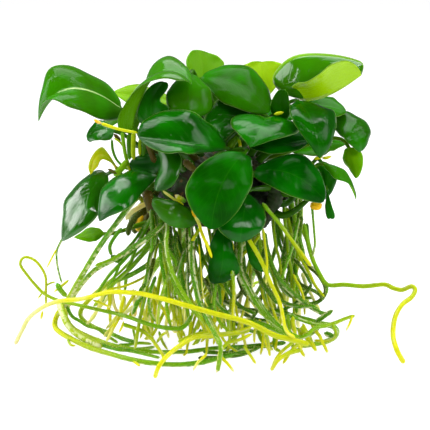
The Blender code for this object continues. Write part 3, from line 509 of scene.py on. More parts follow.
# each leaf: the branch that bears it and how far along (foot), where the blade is widest, how blunt
# its tip is, three places of its midrib from base to tip, and three of each rim, or one where the
# rim is simple. Its tone is how far it is from the deepest green towards light green, how strongly
# it shines, and how far its underside is towards lime; its rib glint is the stretch of the midrib
# where a pale streaky highlight is painted
commonLeaf = dict(finish="dark", branch="main", blunt=0.85, tone=(0.06, 1.0, 0.0), ribGlint=(0.0, 0.0))
leafPlaces = {
    "far_left": dict(foot=0.19, widest=0.46, tone=(0.28, 0.7, 0), ribGlint=(0.02, 0.78),
        midrib=(-52, 122, 8, -80, 133.5, -8, -98, 116, -14),
        left=(-61, 116.5, -7, -80, 123.5, -25, -94.5, 126.5, -24),
        right=(-61, 136.5, 14, -84, 147, 8, -96.5, 135, 0)),
    "upper_left": dict(foot=0.33, widest=0.44, blunt=0.7, tone=(0.34, 1.8, 0.12),
        midrib=(-48, 108, -10, -34, 141, -10, -14, 136, -18),
        left=(-40.5, 122, -2, -32, 150.5, 6, -16.5, 145.5, -6),
        right=(-54, 119.5, -18, -37.5, 137, -24, -20, 138.5, -30)),
    "back_left": dict(finish="young", branch="rear_left", foot=0.42, widest=0.42, tone=(0.35, 0.8, 0.15),
        midrib=(-24.8, 127.5, 22, -41, 129, 28, -57, 131.5, 34),
        left=(-30, 121, 16, -44, 123, 19, -54, 129, 29),
        right=(-31.5, 132.5, 31, -43, 136, 38, -52.5, 134.5, 38)),
    "top_bright": dict(finish="young", branch="rear_left", foot=0.55, widest=0.48, blunt=0.6,
        tone=(0.1, 0.3, 0), midrib=(-8, 138, 36, -8, 147, 46, -10.5, 155, 57),
        left=(0, 142, 42, 4, 148.5, 50, -3, 153, 56), right=(-15, 143, 38, -17, 148.5, 45, -15, 153.5, 53)),
    "top_centre": dict(branch="rear_left", foot=0.33, widest=0.44, blunt=0.7, tone=(0.16, 0.35, 0.1),
        midrib=(-9, 139, 10, 11, 136.5, -3, 28.5, 120.5, -14),
        left=(-1, 145, 16, 15, 146.5, 12, 29, 133, 4), right=(-5, 133, 0, 3, 126.5, -12, 16.5, 121, -18)),
    "back_pale": dict(finish="young", branch="rear_right", foot=0.5, widest=0.48, blunt=0.55,
        tone=(0.6, 0.6, 0.35), midrib=(25, 128, 30, 25, 140, 38, 25, 148.5, 46),
        left=(33, 135, 33, 38, 144, 38, 33, 148.5, 44), right=(18, 136, 34, 13, 144, 40, 17, 148, 45)),
    "top_right": dict(branch="rear_right", foot=0.34, widest=0.44, blunt=0.55, tone=(0.34, 4, 0.9),
        midrib=(40.5, 130.5, 3, 56.5, 128.6, -11, 79.5, 141.5, -17),
        left=(30.5, 139, 6, 46, 152.5, 4, 75, 150.5, -8),
        right=(44.5, 137, -12, 56, 141.5, -24, 67.5, 149.5, -22)),
    "front_right": dict(branch="rear_right", foot=0.2, widest=0.44, blunt=0.8, tone=(0.03, 1.2, 0),
        midrib=(44.5, 127, -9, 53, 114, -34, 56.5, 95.5, -38),
        left=(59.5, 124, -15, 66, 116, -23, 62.5, 102.5, -33),
        right=(40, 122, -24, 43.5, 113, -33, 51.5, 102, -38)),
    "mid_right": dict(foot=0.57, widest=0.44, blunt=0.9, tone=(0.04, 0.9, 0),
        midrib=(27, 118, -14, 24.5, 112.5, -32, 18.5, 101.5, -46),
        left=(41, 116, -12, 45, 110.5, -25, 31, 105.3, -40),
        right=(13, 119.5, -16, 7.5, 115, -28, 12.5, 108, -42)),
    "lower_right": dict(foot=0.735, widest=0.48, blunt=0.6, tone=(-0.03, 0.45, 0),
        midrib=(20.5, 87.5, -34, 40.5, 87, -46, 59, 72.5, -40),
        left=(27, 93.5, -31, 43.5, 98, -34, 57.5, 87, -34),
        right=(26, 82, -40, 40, 75, -50, 52, 71.5, -46)),
    "front": dict(foot=0.53, widest=0.44, blunt=0.62, tone=(0.02, 0.3, 0),
        midrib=(15.5, 98.5, -44, 2.5, 80.5, -62, -3, 56.5, -62),
        left=(20, 90, -46, 18.5, 79, -55, 10, 64.5, -61),
        right=(-5, 95.5, -50, -17, 78.5, -56, -13, 66, -60)),
    "below_front": dict(foot=0.78, widest=0.48, blunt=0.55, tone=(0, 2.6, 0),
        midrib=(16.5, 76, -36, 14.5, 62.5, -50, 12.5, 49.5, -53),
        left=(25, 69, -38, 27, 60.5, -45, 21.5, 53, -50), right=(5, 71, -42, 0, 60, -50, 4, 53, -53)),
    "mid_left": dict(foot=0.42, widest=0.46, blunt=0.6, tone=(0.02, 1.6, 0),
        midrib=(5, 101, -30, -19, 103.5, -45, -43, 107, -42),
        left=(-7, 98.5, -42, -17, 98, -60, -32, 99.5, -58),
        right=(0, 111, -20, -14, 121, -28, -36, 119.5, -30)),
    "hanging_left": dict(foot=0.295, widest=0.46, tone=(0.06, 3, 0),
        midrib=(-33, 104, -34, -27, 91, -46, -33, 77.5, -50),
        left=(-22, 99, -40, -19.5, 91, -47, -25, 80, -51),
        right=(-32, 98, -37, -32, 88, -40, -34.5, 80, -46)),
    "low_left_inner": dict(foot=0.15, widest=0.46, blunt=0.7, tone=(0.02, 4, 0),
        midrib=(-33.5, 85.5, -30, -52, 77.5, -50, -64.5, 61, -52),
        left=(-39, 78.5, -40, -48, 68.5, -55, -58, 64, -56),
        right=(-43, 89.5, -26, -57, 85, -36, -65, 73, -44)),
    "low_left_outer": dict(foot=0.11, widest=0.46, blunt=0.75, tone=(0.12, 9, 0),
        midrib=(-60, 87, -24, -74, 71.5, -34, -85, 50, -34),
        left=(-61, 77, -31, -65, 64.5, -40, -76, 54.5, -41),
        right=(-69, 87.5, -20, -81.5, 76, -22, -85.5, 61, -28)),
    "small_centre": dict(foot=0.075, widest=0.48, blunt=0.6, tone=(0.26, 2.6, 0),
        midrib=(-11.5, 60, -38, -23, 64.5, -50, -35.5, 71.5, -46),
        left=(-17, 57, -44, -26, 58.5, -51, -33.5, 65.5, -48),
        right=(-14, 67, -34, -22, 71.5, -40, -32, 74, -42)),
    "hanging_front": dict(foot=0.93, widest=0.62, blunt=0.55, tone=(0, 1.1, 0),
        midrib=(3, 60, -40, 3.5, 42, -50, 0.5, 27, -47), left=(7.5, 52, -42, 10.5, 42, -46, 12, 32, -44),
        right=(-3, 50, -43, -4.5, 41, -46, -4.5, 29.5, -46)),
    "hanging_right": dict(foot=0.97, widest=0.5, midrib=(17, 53, -36, 20.5, 42.5, -41, 26, 33, -42),
        left=(20, 50, -37, 24, 42.5, -40, 27, 36, -41), right=(16, 47, -38, 17.5, 40, -40, 21, 34.5, -41)),
    "right_edge": dict(branch="rear_right", foot=0.7, widest=0.46, blunt=0.6, tone=(0.12, 1, 0),
        midrib=(64, 116, 4, 75.5, 112, -6, 79.5, 99.5, -8),
        left=(71.5, 121.5, 8, 83, 114, 4, 84, 106, -2), right=(66, 110, -4, 70, 106, -12, 75.5, 101, -12)),
    "right_bright": dict(finish="young", branch="rear_right", foot=0.8, widest=0.44, blunt=0.7,
        tone=(0.15, 0.3, 0.5), midrib=(72.5, 101.5, -2, 75, 93, -6, 76.5, 84.5, -6),
        left=(79, 99.5, -3, 80.5, 93, -6, 79, 87, -6), right=(69.5, 98.5, 0, 70, 93, 1, 73.5, 88.5, -2)),
    "right_curled": dict(foot=0.81, widest=0.36, tone=(0.3, 0.6, 0.2),
        midrib=(58.5, 92.5, -22, 69.5, 86, -26, 76.5, 73, -20),
        left=(64, 91.5, -19, 71.5, 87.5, -20, 76, 78, -19),
        right=(62.5, 87, -27, 67, 83.5, -30, 74.5, 79.5, -24)),
    "narrow": dict(foot=0.9, widest=0.7, blunt=0.4, tone=(0.04, 0.8, 0),
        midrib=(60.5, 78, -28, 61.5, 70, -30, 62.5, 62.5, -28),
        left=(62, 74, -30, 63.5, 69, -31, 65, 64, -29), right=(60, 73.5, -27, 59.5, 69, -28, 60, 64, -27)),
    "left_small": dict(foot=0.225, widest=0.48, blunt=0.6, tone=(0.06, 4, 0),
        midrib=(-56.5, 110.5, -16, -64, 110.5, -19, -71.5, 107, -20),
        left=(-59, 105.5, -20, -64.5, 105.5, -26, -69.5, 104.5, -23),
        right=(-60, 115, -12, -66, 116, -13, -70.5, 111, -17)),
    "left_yellow": dict(finish="old", foot=0.05, widest=0.42, tone=(0.3, 1, 0),
        midrib=(-55, 90, -18, -64.5, 97.5, -20, -69.5, 86.5, -24),
        left=(-59, 93.5, -21, -63.5, 94.5, -24, -66, 90.5, -26),
        right=(-59.5, 98, -16, -65, 101, -16, -70.5, 92.5, -21)),
    "left_low_bright": dict(finish="young", foot=0.015, widest=0.42, tone=(0.1, 0.6, 0.3),
        midrib=(-62, 54, -12, -69.5, 54, -16, -78.5, 52, -18),
        left=(-65.5, 50.5, -18, -69, 49.5, -22, -75, 50.5, -21),
        right=(-65, 57, -8, -70, 57.5, -9, -75, 54.5, -14)),
    "back_centre": dict(branch="rear_left", foot=0.2, widest=0.46, blunt=0.55, tone=(0.26, 0.8, 0),
        midrib=(-14, 142, -4, -15, 130, -14, -15, 118, -18),
        left=(-7, 137, -4, -2, 129.5, -6, -4, 121, -11),
        right=(-23, 138, -2, -27.5, 130.5, -8, -26, 122, -14)),
    "dark_centre": dict(foot=0.465, widest=0.5, blunt=0.6, tone=(0.04, 3, 0.3),
        midrib=(26, 123, -3, 8, 115.5, -12, -2, 102, -18), left=(11, 111, -18), right=(0, 127, -3)),
    "dark_left": dict(foot=0.375, widest=0.3, blunt=0.6, tone=(0.04, 3.5, 0),
        midrib=(-35, 113, -14, -35.5, 126, -12, -29, 137.5, -10),
        left=(-43.5, 117, -13, -41.5, 128, -11, -35.5, 136, -10),
        right=(-25.5, 123, -15, -31, 127.5, -14, -27, 134, -12)),
    "behind_right": dict(foot=0.605, widest=0.5, blunt=0.5, tone=(0.1, 0.4, 0),
        midrib=(36, 117, -9, 35, 125, -11, 36, 133, -11),
        left=(31, 119, -8, 29.5, 125, -10, 32.5, 131.5, -11),
        right=(40, 119, -10, 40, 126, -12, 39, 131.5, -12)),
    "right_upper": dict(branch="rear_right", foot=0.6, widest=0.46, blunt=0.7, tone=(0.2, 0.6, 0.3),
        midrib=(47.3, 125.4, 4, 60, 124, 4, 71, 121, 2), left=(54, 130, 11, 63, 129, 14, 69, 125, 8),
        right=(53, 118.5, -3, 62, 118, -5, 68.5, 119, -2)),
    "shadow": dict(foot=0.65, widest=0.46, tone=(0, 0.2, 0),
        midrib=(52, 106, -12, 36, 103, -20, 19, 101, -27), left=(36, 98, -29), right=(36, 110, -10)),
    "behind_lower_right": dict(foot=0.855, widest=0.46, midrib=(57, 94, -12, 60, 84.5, -16, 60, 73, -18),
        left=(66, 85, -12), right=(53, 83, -10)),
    "rear_left": dict(branch="rear_left", foot=0.48, widest=0.44,
        midrib=(-28, 114, 26, -47, 124, 46, -64, 109, 60), left=(-59, 118, 35), right=(-36, 123, 58)),
    "rear_middle": dict(branch="rear_left", foot=0.72, widest=0.44,
        midrib=(-4, 115, 36, -8, 127, 60, -11, 115, 82), left=(-25, 124, 60), right=(9, 124, 60)),
    "rear_right": dict(branch="rear_right", foot=0.66, widest=0.44,
        midrib=(28, 114, 30, 45, 124, 50, 58, 111, 68), left=(34, 123, 61), right=(56, 120, 39)),
    "dark_low_left": dict(foot=0.26, widest=0.55, blunt=0.45, tone=(0, 8, 0),
        midrib=(-29.5, 95.5, -21, -38, 93, -22, -48, 92.5, -21), left=(-38, 85, -22),
        right=(-38, 98.5, -20)),
    "rear_low_middle": dict(branch="rear_left", foot=0.88, widest=0.44,
        midrib=(2, 99, 46, 10, 100, 68, 12, 82, 80), left=(-6, 102, 71), right=(25, 102, 66)),
    "rear_low_right": dict(branch="rear_right", foot=0.93, widest=0.44, tone=(0.2, 0.3, 0.3),
        midrib=(40, 99, 24, 57, 103.5, 36, 71, 103, 42), left=(52, 108, 50), right=(61, 98, 21)),
}


def bladeWidth(t, widest, blunt):
    if t < widest:
        return math.sin(0.5 * math.pi * t / widest) ** leafShape["baseRoundness"]
    return max(math.cos(0.5 * math.pi * (t - widest) / (1.0 - widest)), 0.0) ** blunt


def stationShare(t):
    run = (t - rimStations["ease"]) / (1.0 - 2.0 * rimStations["ease"])
    return 0.5 - 0.5 * math.cos(math.pi * min(max(run, 0.0), 1.0))


def throughThree(vectors, t):
    # the change through the three vectors that stand at the rim's stations
    here = stationShare(t)
    at = [stationShare(station) for station in rimStations["at"]]
    total = Vector((0.0, 0.0, 0.0))
    for index, vector in enumerate(vectors):
        share = 1.0
        for other in range(3):
            if other != index:
                share *= (here - at[other]) / (at[index] - at[other])
        total += vector * share
    return total


def rimVectors(points, midrib, midribDirection, widthAt):
    # three vectors from the midrib to the full width, from three rim points or from one
    if len(points) == 1:
        across = seen(*points[0]) - midrib(0.5)
        middle = midribDirection(0.5)
        return [middle.rotation_difference(midribDirection(t)) @ across for t in rimStations["at"]]
    return [(seen(*point) - midrib(t)) / widthAt(t) for point, t in zip(points, rimStations["at"])]


def ringCorners():
    # where each point of a ring lies: across (1 left rim, -1 right rim) and on top (1) or below (-1)
    half = leafShape["halfSteps"]
    top = [(1.0 - index / half, 1.0) for index in range(2 * half + 1)]
    below = [(across, -1.0) for across, _ in reversed(top[1:-1])]
    return top + below


def circleRing(middle, tangent, side, radius, count):
    upward = tangent.cross(side).normalized()
    turns = [2.0 * math.pi * index / count for index in range(count)]
    return [middle + side * (radius * math.cos(a)) + upward * (radius * math.sin(a)) for a in turns]


def bladeRing(corners, midrib, tangent, left, right, width, t, wave):
    shape = leafShape
    leftUp = tangent.cross(left).normalized()
    rightUp = right.cross(tangent).normalized()
    ribUp = (leftUp + rightUp).normalized()
    ring = []
    for across, face in corners:
        share = abs(across)
        rimVector, upward = (left, leftUp) if across > 0.0 else (right, rightUp)
        if share == 0.0:
            upward = ribUp
        crown = math.sin(math.pi * share ** shape["bulgeEase"]) * shape["bulge"] * rimVector.length * width
        ripple = wave(t, across) * share * share * rimVector.length * width
        thick = 0.5 * (shape["thickness"] * (1.0 - share) + shape["rimThickness"] * share)
        thick *= math.sqrt(max(1.0 - share ** shape["rimRoundness"], 0.0))
        if share == 0.0 and face < 0.0:
            thick += shape["ribBelow"] * (1.0 - t)
        ring.append(midrib + rimVector * (share * width) + upward * (crown + ripple + face * thick))
    return ring


def makeLeaf(name, place, paths, dice):
    shape = leafShape
    base, middle, tip = [seen(*point) for point in grouped(place["midrib"], 3)]
    handle = middle * 2.0 - (base + tip) * 0.5

    def midrib(t):
        return base * (1 - t) ** 2 + handle * (2 * t * (1 - t)) + tip * t * t

    def midribDirection(t):
        return ((handle - base) * (1 - t) + (tip - handle) * t).normalized()

    def widthAt(t):
        return bladeWidth(t, place["widest"], place["blunt"])

    left, right = [rimVectors(grouped(place[rim], 3), midrib, midribDirection, widthAt)
                   for rim in ("left", "right")]
    axis, growth = alongPath(paths[place["branch"]], place["foot"])
    towards = acrossFrom(base - axis, growth)
    foot = axis + towards * (rhizomeShape["radius"] + shape["footGap"])
    reach = (base - foot).length
    first = midribDirection(0.0)
    stalk = (foot, foot + towards * (reach * shape["stalkRise"]),
             base - first * (reach * shape["stalkRunIn"]), base)
    phases = [dice.uniform(0.0, shape["wavePhase"]) for _ in range(4)]

    def wave(t, across):
        side = 0 if across > 0.0 else 2
        turn = 2.0 * math.pi * shape["waves"] * t
        second = math.sin(shape["secondWave"] * turn + phases[side + 1])
        return shape["wave"] * (math.sin(turn + phases[side]) + shape["secondHeight"] * second)

    corners = ringCorners()
    count = len(corners)
    side = acrossFrom(throughThree(left, 0.0), first)
    rings = []
    for step in reversed(range(shape["stalkSteps"])):
        t = step / shape["stalkSteps"]
        tangent = bezierDirection(stalk, t)
        side = acrossFrom(side, tangent)
        taper = min(t * shape["stalkTaper"], 1.0)
        radius = shape["stalkFoot"] + (shape["stalkNeck"] - shape["stalkFoot"]) * taper
        rings.insert(0, circleRing(bezier(stalk, t), tangent, side, radius, count))
    rings.insert(0, [point - bezierDirection(stalk, 0.0) * shape["footDepth"] for point in rings[0]])

    # the blade, with where each point lies, whether it is on top, and whether it has the painted midrib
    # highlight
    onStalk = len(rings) * count
    marks, uppers, ribGlints = [(0.5, 0.0)] * onStalk, [1.0] * onStalk, [0.0] * onStalk
    ribGlintStart, ribGlintEnd = place["ribGlint"]
    for step in range(shape["alongSteps"]):
        t = 0.5 - 0.5 * math.cos(math.pi * (step + shape["firstStep"]) / shape["alongSteps"])
        direction = midribDirection(t)
        leftHere, rightHere = throughThree(left, t), throughThree(right, t)
        ring = bladeRing(corners, midrib(t), direction, leftHere, rightHere, widthAt(t), t, wave)
        neck = smoothStep(0.0, shape["neckLength"], t)
        if neck < 1.0:
            ringSide = acrossFrom(leftHere, direction)
            bare = circleRing(midrib(t), direction, ringSide, shape["stalkNeck"], count)
            ring = [a.lerp(b, neck) for a, b in zip(bare, ring)]
        rings.append(ring)
        marks += [(0.5 - 0.5 * across * neck, t) for across, face in corners]
        uppers += [0.5 + 0.5 * face if abs(across) < 1.0 else 0.5 for across, face in corners]
        ribGlinted = ribGlintStart < t < ribGlintEnd
        ribGlints += [float(ribGlinted and face > 0.0 and across == 0.0) for across, face in corners]
    verts = [point * mm for ring in rings for point in ring] + [tip * mm]
    last = len(verts) - 1 - count
    faces = [tuple(reversed(range(count)))] + ringFaces(len(rings), count)
    faces += [(last + corner, last + (corner + 1) % count, len(verts) - 1) for corner in range(count)]
    tone, sheen, lime = [[value] * len(verts) for value in place["tone"]]
    pointValues = dict(upper=uppers + [1.0], ribGlint=ribGlints + [0.0], tone=tone, sheen=sheen, lime=lime)
    piece = newPiece("blade_" + name, verts, faces, leafFinishes[place["finish"]], pointValues,
                     marks + [(0.5, 1.0)])
    settle(piece, "leaf_" + place["finish"], "leaf_" + name)


def makeLeaves():
    dice = random.Random(leafShape["seed"])
    paths = {branch: rhizomePath(branch) for branch in rhizomeBranches}
    for name, place in leafPlaces.items():
        makeLeaf(name, {**commonLeaf, **place}, paths, dice)
    print("leaves made:", len(leafPlaces))


makeLeaves()


rootShape = dict(spacing=1.1, sides=12, slim=0.94, press=0.80, wobble=0.25, wobbleLength=14.0, calm=6.0,
                 calmTip=0.3, lumps=0.09, lumpLength=5.0, lumpShift=3.0, tipLength=2.2, leastEnd=0.02,
                 ripening=1.3, firstSide=(0.31, 0.17, 0.93), seedStep=3.7, bendFade=0.8)


def tubeOf(path, radii, sides):
    # rings of points round a path, and the faces between them, closed at both ends
    points = np.array([tuple(point) for point in path])
    tangents = np.gradient(points, axis=0)
    tangents /= np.linalg.norm(tangents, axis=1)[:, None]
    normal = np.cross(tangents[0], rootShape["firstSide"])
    normal /= np.linalg.norm(normal)
    turns = 2.0 * math.pi * np.arange(sides) / sides
    rings = []
    for point, tangent, radius in zip(points, tangents, radii):
        normal = normal - tangent * normal.dot(tangent)
        normal /= np.linalg.norm(normal)
        other = np.cross(tangent, normal)
        rings.append(point + radius * (np.cos(turns)[:, None] * normal + np.sin(turns)[:, None] * other))
    faces = ringFaces(len(points), sides)
    end = len(points) * sides
    for corner in range(sides):
        other = (corner + 1) % sides
        faces += [(end, other, corner), (end + 1, end - sides + corner, end - sides + other)]
    return np.concatenate(rings + [points[:1], points[-1:]]), faces


def rootTube(points, startWidth, tipWidth, sides, seed):
    # one living root: its smooth path with a little wobble, its uneven thickness, and how far
    # along it each point lies
    shape = rootShape
    path, length = evenPath(points, shape["spacing"])
    last = len(path) - 1
    radii, placed = [], []
    for index, point in enumerate(path):
        share = index / last
        run = length * share
        calm = min(1.0, run / shape["calm"], (length - run) / shape["calm"] + shape["calmTip"])
        sway = noise.noise_vector(Vector((run / shape["wobbleLength"], seed, 0.0))) * shape["wobble"] * calm
        spot = Vector((run / shape["lumpLength"], seed, shape["lumpShift"]))
        lump = 1.0 + shape["lumps"] * noise.noise(spot)
        radius = 0.5 * (startWidth + (tipWidth - startWidth) * share) * shape["slim"] * lump
        for fromEnd in (length - run, run):
            near = min(fromEnd / shape["tipLength"], 1.0)
            radius *= math.sqrt(max(1.0 - (1.0 - near) ** 2, shape["leastEnd"]))
        radii.append(radius)
        placed.append(point + sway)
    verts, faces = tubeOf(placed, radii, sides)
    verts[:, 2] = np.maximum(verts[:, 2], 0.0)
    shares = np.repeat(np.linspace(0.0, 1.0, last + 1), sides)
    return verts, faces, np.concatenate([shares, [0.0, 1.0]]), sides


# the fine hairs of the wet roots: how many to a millimetre, their length, width and colour, how
# much they lean, how deep their foot sits, how low they may reach, and how high their three-sided
# foot is for its width; a root with fewer rings or hairs than the least has none
hairShape = dict(perMillimetre=8.0, length=(0.30, 0.90), width=0.18, ripe=(0.83, 0.90), lean=0.35,
                 sunk=0.15, lowest=0.05, footHeight=0.87, leastRings=4, least=3, seed=5)
hairDice = np.random.default_rng(hairShape["seed"])


def hairsOf(verts, sides, hairy):
    # thin spikes that stand out of a tube
    shape, dice = hairShape, hairDice
    rings = verts[:-2].reshape(-1, sides, 3)
    count = int(len(rings) * rootShape["spacing"] * shape["perMillimetre"] * hairy)
    if count < shape["least"] or len(rings) < shape["leastRings"]:
        return np.zeros((0, 3)), []
    row = dice.integers(1, len(rings) - 1, count)
    corner = dice.integers(0, sides, count)
    foot = rings[row, corner] + (rings[row + 1, corner] - rings[row, corner]) * dice.random((count, 1))
    outward = rings[row, corner] - rings.mean(axis=1)[row]
    outward /= np.linalg.norm(outward, axis=1)[:, None] + 1e-9
    outward += dice.normal(0.0, shape["lean"], (count, 3))
    top = foot + outward * dice.uniform(*shape["length"], (count, 1))
    top[:, 2] = np.maximum(top[:, 2], shape["lowest"])
    side = np.cross(outward, dice.normal(0.0, 1.0, (count, 3)))
    side *= 0.5 * shape["width"] / (np.linalg.norm(side, axis=1)[:, None] + 1e-9)
    other = np.cross(outward, side)
    other *= 0.5 * shape["width"] / (np.linalg.norm(other, axis=1)[:, None] + 1e-9)
    base = foot - outward * shape["sunk"]
    high = shape["footHeight"] * other
    spikes = np.stack([base + side, base - 0.5 * side + high, base - 0.5 * side - high, top], 1)
    faces = []
    for at in range(0, 4 * count, 4):
        faces += [(at, at + 1, at + 3), (at + 1, at + 2, at + 3), (at + 2, at, at + 3)]
    return spikes.reshape(-1, 3), faces


# strips of pale old skin with a painted highlight along the green roots, on the side turned to the
# left lamp, the right lamp and the glowing floor by turns: the sides where they lie, one side to a
# root, and how squarely a point has to face that side
skinGlintShape = dict(sides=((0.85, -0.20, 0.48), (-0.85, -0.20, 0.48), (0.10, -0.50, -0.86)), facing=0.66,
                 edge=0.16)


def skinGlintOf(verts, sides, hairy, number):
    rings = verts[:-2].reshape(-1, sides, 3)
    outward = rings - rings.mean(axis=1)[:, None, :]
    outward /= np.linalg.norm(outward, axis=2)[:, :, None] + 1e-9
    facing = outward @ np.array(skinGlintShape["sides"][number % 3])
    strip = np.clip((facing - skinGlintShape["facing"]) / skinGlintShape["edge"], 0.0, 1.0) * hairy
    return np.concatenate([strip.ravel(), [0.0, 0.0]])


def joinTubes(name, tubes, slot, *nodes):
    # one piece of several roots; each is a tube, how ripe it is at its start and tip, and how hairy
    parts, ripes, hairs, skinGlints = [], [], [], []
    for number, (tube, ripeStart, ripeTip, hairy) in enumerate(tubes):
        verts, faces, shares, sides = tube
        spikes, spikeFaces = hairsOf(verts, sides, hairy)
        parts += [(verts, faces), (spikes, spikeFaces)]
        ripes += [ripeStart + (ripeTip - ripeStart) * shares ** rootShape["ripening"],
                  np.repeat(hairDice.uniform(*hairShape["ripe"], len(spikes) // 4), 4)]
        bare = np.zeros(len(spikes))
        hairs += [np.full(len(verts), hairy), bare]
        skinGlints += [skinGlintOf(verts, sides, hairy, number + len(name)), bare]  # the name varies the side
    pointValues = dict(ripe=np.concatenate(ripes), hairy=np.concatenate(hairs), skin=np.concatenate(skinGlints))
    settle(newPiece(name, *joined(parts), rootMaterial, pointValues), slot, *nodes)


def rootPoints(place):
    # the places of a root or bundle; None for a depth means that it lies on the ground there
    points = grouped(place["points"], 3)
    start, tip = place["width"]
    placed = []
    for index, (across, up, depth) in enumerate(points):
        if depth is None:
            radius = 0.5 * (start + (tip - start) * index / (len(points) - 1))
            placed.append(onGround(across, up, radius * rootShape["press"]))
        else:
            placed.append(seen(across, up, depth))
    return placed


# each root: its width at its start and tip, its places (across, up and depth), and its tone: how
# ripe it is at its start and at its tip (0 old and dark, 0.3 green, 0.8 yellow, 1 pale), and how
# much of the hair of a wet green root it has. A root with a bend is brightest at that share of it
rootPlaces = {
    "ring_outer": dict(slot="green", width=(3.2, 3), tone=(0.17, 0.66, 1), bend=0.42,
        points=(-42, 76, -30, -53, 63, -30, -65, 46, -24, -76, 28, -12, -83, 16, -4, -88, 9, 0, -89, 3,
            -2, -85, -1, None, -78, -5, None, -69, -9, None, -59, -12, None, -48, -15, None, -37, -17,
            None, -23, -18, None, -9, -17, None, 3, -14, None, 18, -11, None)),
    "ring_inner": dict(slot="green", width=(3, 2.6), tone=(0.16, 0.61, 1), bend=0.42,
        points=(-29, 60, -44, -38, 52, -44, -53, 42, -34, -67, 34, -18, -76, 24, -2, -82, 14, 6, -83, 8,
            2, -80, 3, -6, -74, -1, None, -62, -6, None, -50, -9, None, -36, -11, None, -18, -11, None, 0,
            -9, None, 18, -8, None, 38, -6, None)),
    "ring_low": dict(slot="green", width=(3, 2.4), tone=(0.2, 0.62, 1), bend=0.42,
        points=(-34, 40, -30, -46, 32, -26, -60, 26, -16, -70, 18, -6, -75, 11, 0, -73, 6, -2, -66, 2, -4,
            -58, -1, None, -51, -4, None, -44, -6, None)),
    "front_long": dict(slot="yellow", width=(3.2, 2.4), tone=(0.6, 0.92, 0.1),
        points=(51, -7, -76, 40, -4, -80, 32, -2, -82, 18, 5, -82, -1, 10, -80, -15, 14, -76, -29, 18,
            -70, -42, 21, -62, -56, 22, -54, -64, 21, -48, -75, 18, -42, -86, 17, -36, -95, 14, -32, -103,
            8, -30, -107, 1, -32, -111, -7, -40)),
    "left_loop": dict(slot="yellow", width=(2.6, 1.4), tone=(0.34, 0.64, 0.6),
        points=(-14, 9, -52, -18, 3, -56, -24, 2, -56, -37, 4, -52, -48, 8, -46, -59, 11, -40, -73, 14,
            -34, -86, 17, -28, -95, 21, -24, -100, 26, -22, -104, 31, -20, -108, 37, -19, -106, 41, -19,
            -101, 40, -20, -97, 36, -21, -94, 30, -21, -94, 22, -20, -94, 15, -20)),
    "hang_left": dict(slot="green", width=(2.4, 2.2), tone=(0.34, 0.48, 1),
        points=(-28, 64, -34, -27, 57, -44, -28, 48, -50, -26, 38, -54, -22, 28, -58, -16, 18, -62, -10,
            10, -65, -6, 4, -68)),
    "right_far": dict(slot="green", width=(2.4, 3), tone=(0.36, 0.8, 0.2),
        points=(48, 60, -20, 51, 45, -20, 56, 33, -20, 61, 26, -20, 70, 26, -21, 81, 25, -22, 92, 26, -24,
            97, 24, -26, 102, 23, -28, 107, 25, -30, 109, 23, -32, 107, 19, -36, 102, 15, -42, 98, 8, -52,
            97, -2, -62, 99, -10, -72, 103, -17, None)),
    "right_straight": dict(slot="yellow", width=(2.4, 2), tone=(0.36, 0.7, 0.2),
        points=(25, 71, -38, 34, 60, -40, 43, 48, -42, 52, 36, -44)),
    "right_yellow": dict(slot="yellow", width=(2.6, 2), tone=(0.56, 0.78, 0.2),
        points=(17, 52, -48, 25, 38, -54, 29, 28, -60, 35, 15, -68, 38, 1, -78, 43, -3, -84)),
    "right_dark": dict(slot="green", width=(3, 2.4), tone=(0.16, 0.24, 1),
        points=(26, 55, -34, 28, 44, -38, 33, 31, -40, 43, 20, -38, 56, 11, -34, 63, 10, -32)),
    "right_tail": dict(slot="green", width=(3, 2), tone=(0.3, 0.5, 0.7),
        points=(16, 6, -44, 26, 4, -46, 35, 0, -50, 43, -3, -54, 49, -2, -56, 54, 2, -52, 62, 4, -46, 70,
            7, -42, 76, 9, -40)),
    "ring_right": dict(slot="green", width=(3.4, 3), tone=(0.3, 0.48, 0.7),
        points=(32, 12, -26, 44, 8, -26, 56, 5, -24, 64, 3, -20, 66, -1, -12, 61, -5, None, 52, -7, None,
            44, -8, None)),
    "tip_left": dict(slot="yellow", width=(3, 2.4), tone=(0.56, 0.8, 0.1),
        points=(18, 1, -56, 8, -1, -64, -3, -2, -72, -12, -3, -80, -21, -8, -89, -27, -13, -96, -32, -19,
            -102, -34, -25, None)),
    "tip_right": dict(slot="yellow", width=(2.8, 2.2), tone=(0.54, 0.74, 0.2),
        points=(46, -10, -70, 41, -11, -76, 37, -13, -80, 33, -16, -86, 30, -21, None)),
}


def makeRoots():
    for number, (name, place) in enumerate(rootPlaces.items()):
        verts, faces, shares, sides = rootTube(rootPoints(place), *place["width"], rootShape["sides"],
                                               number * rootShape["seedStep"])
        if "bend" in place:
            bend = place["bend"]
            beyond = (shares - bend) / (1.0 - bend)
            shares = np.minimum(shares / bend, 1.0 - rootShape["bendFade"] * beyond)
        joinTubes("strand_" + name, [((verts, faces, shares, sides), *place["tone"])],
                  "root_" + place["slot"], "root_" + name)
    print("single roots made:", len(rootPlaces))


makeRoots()


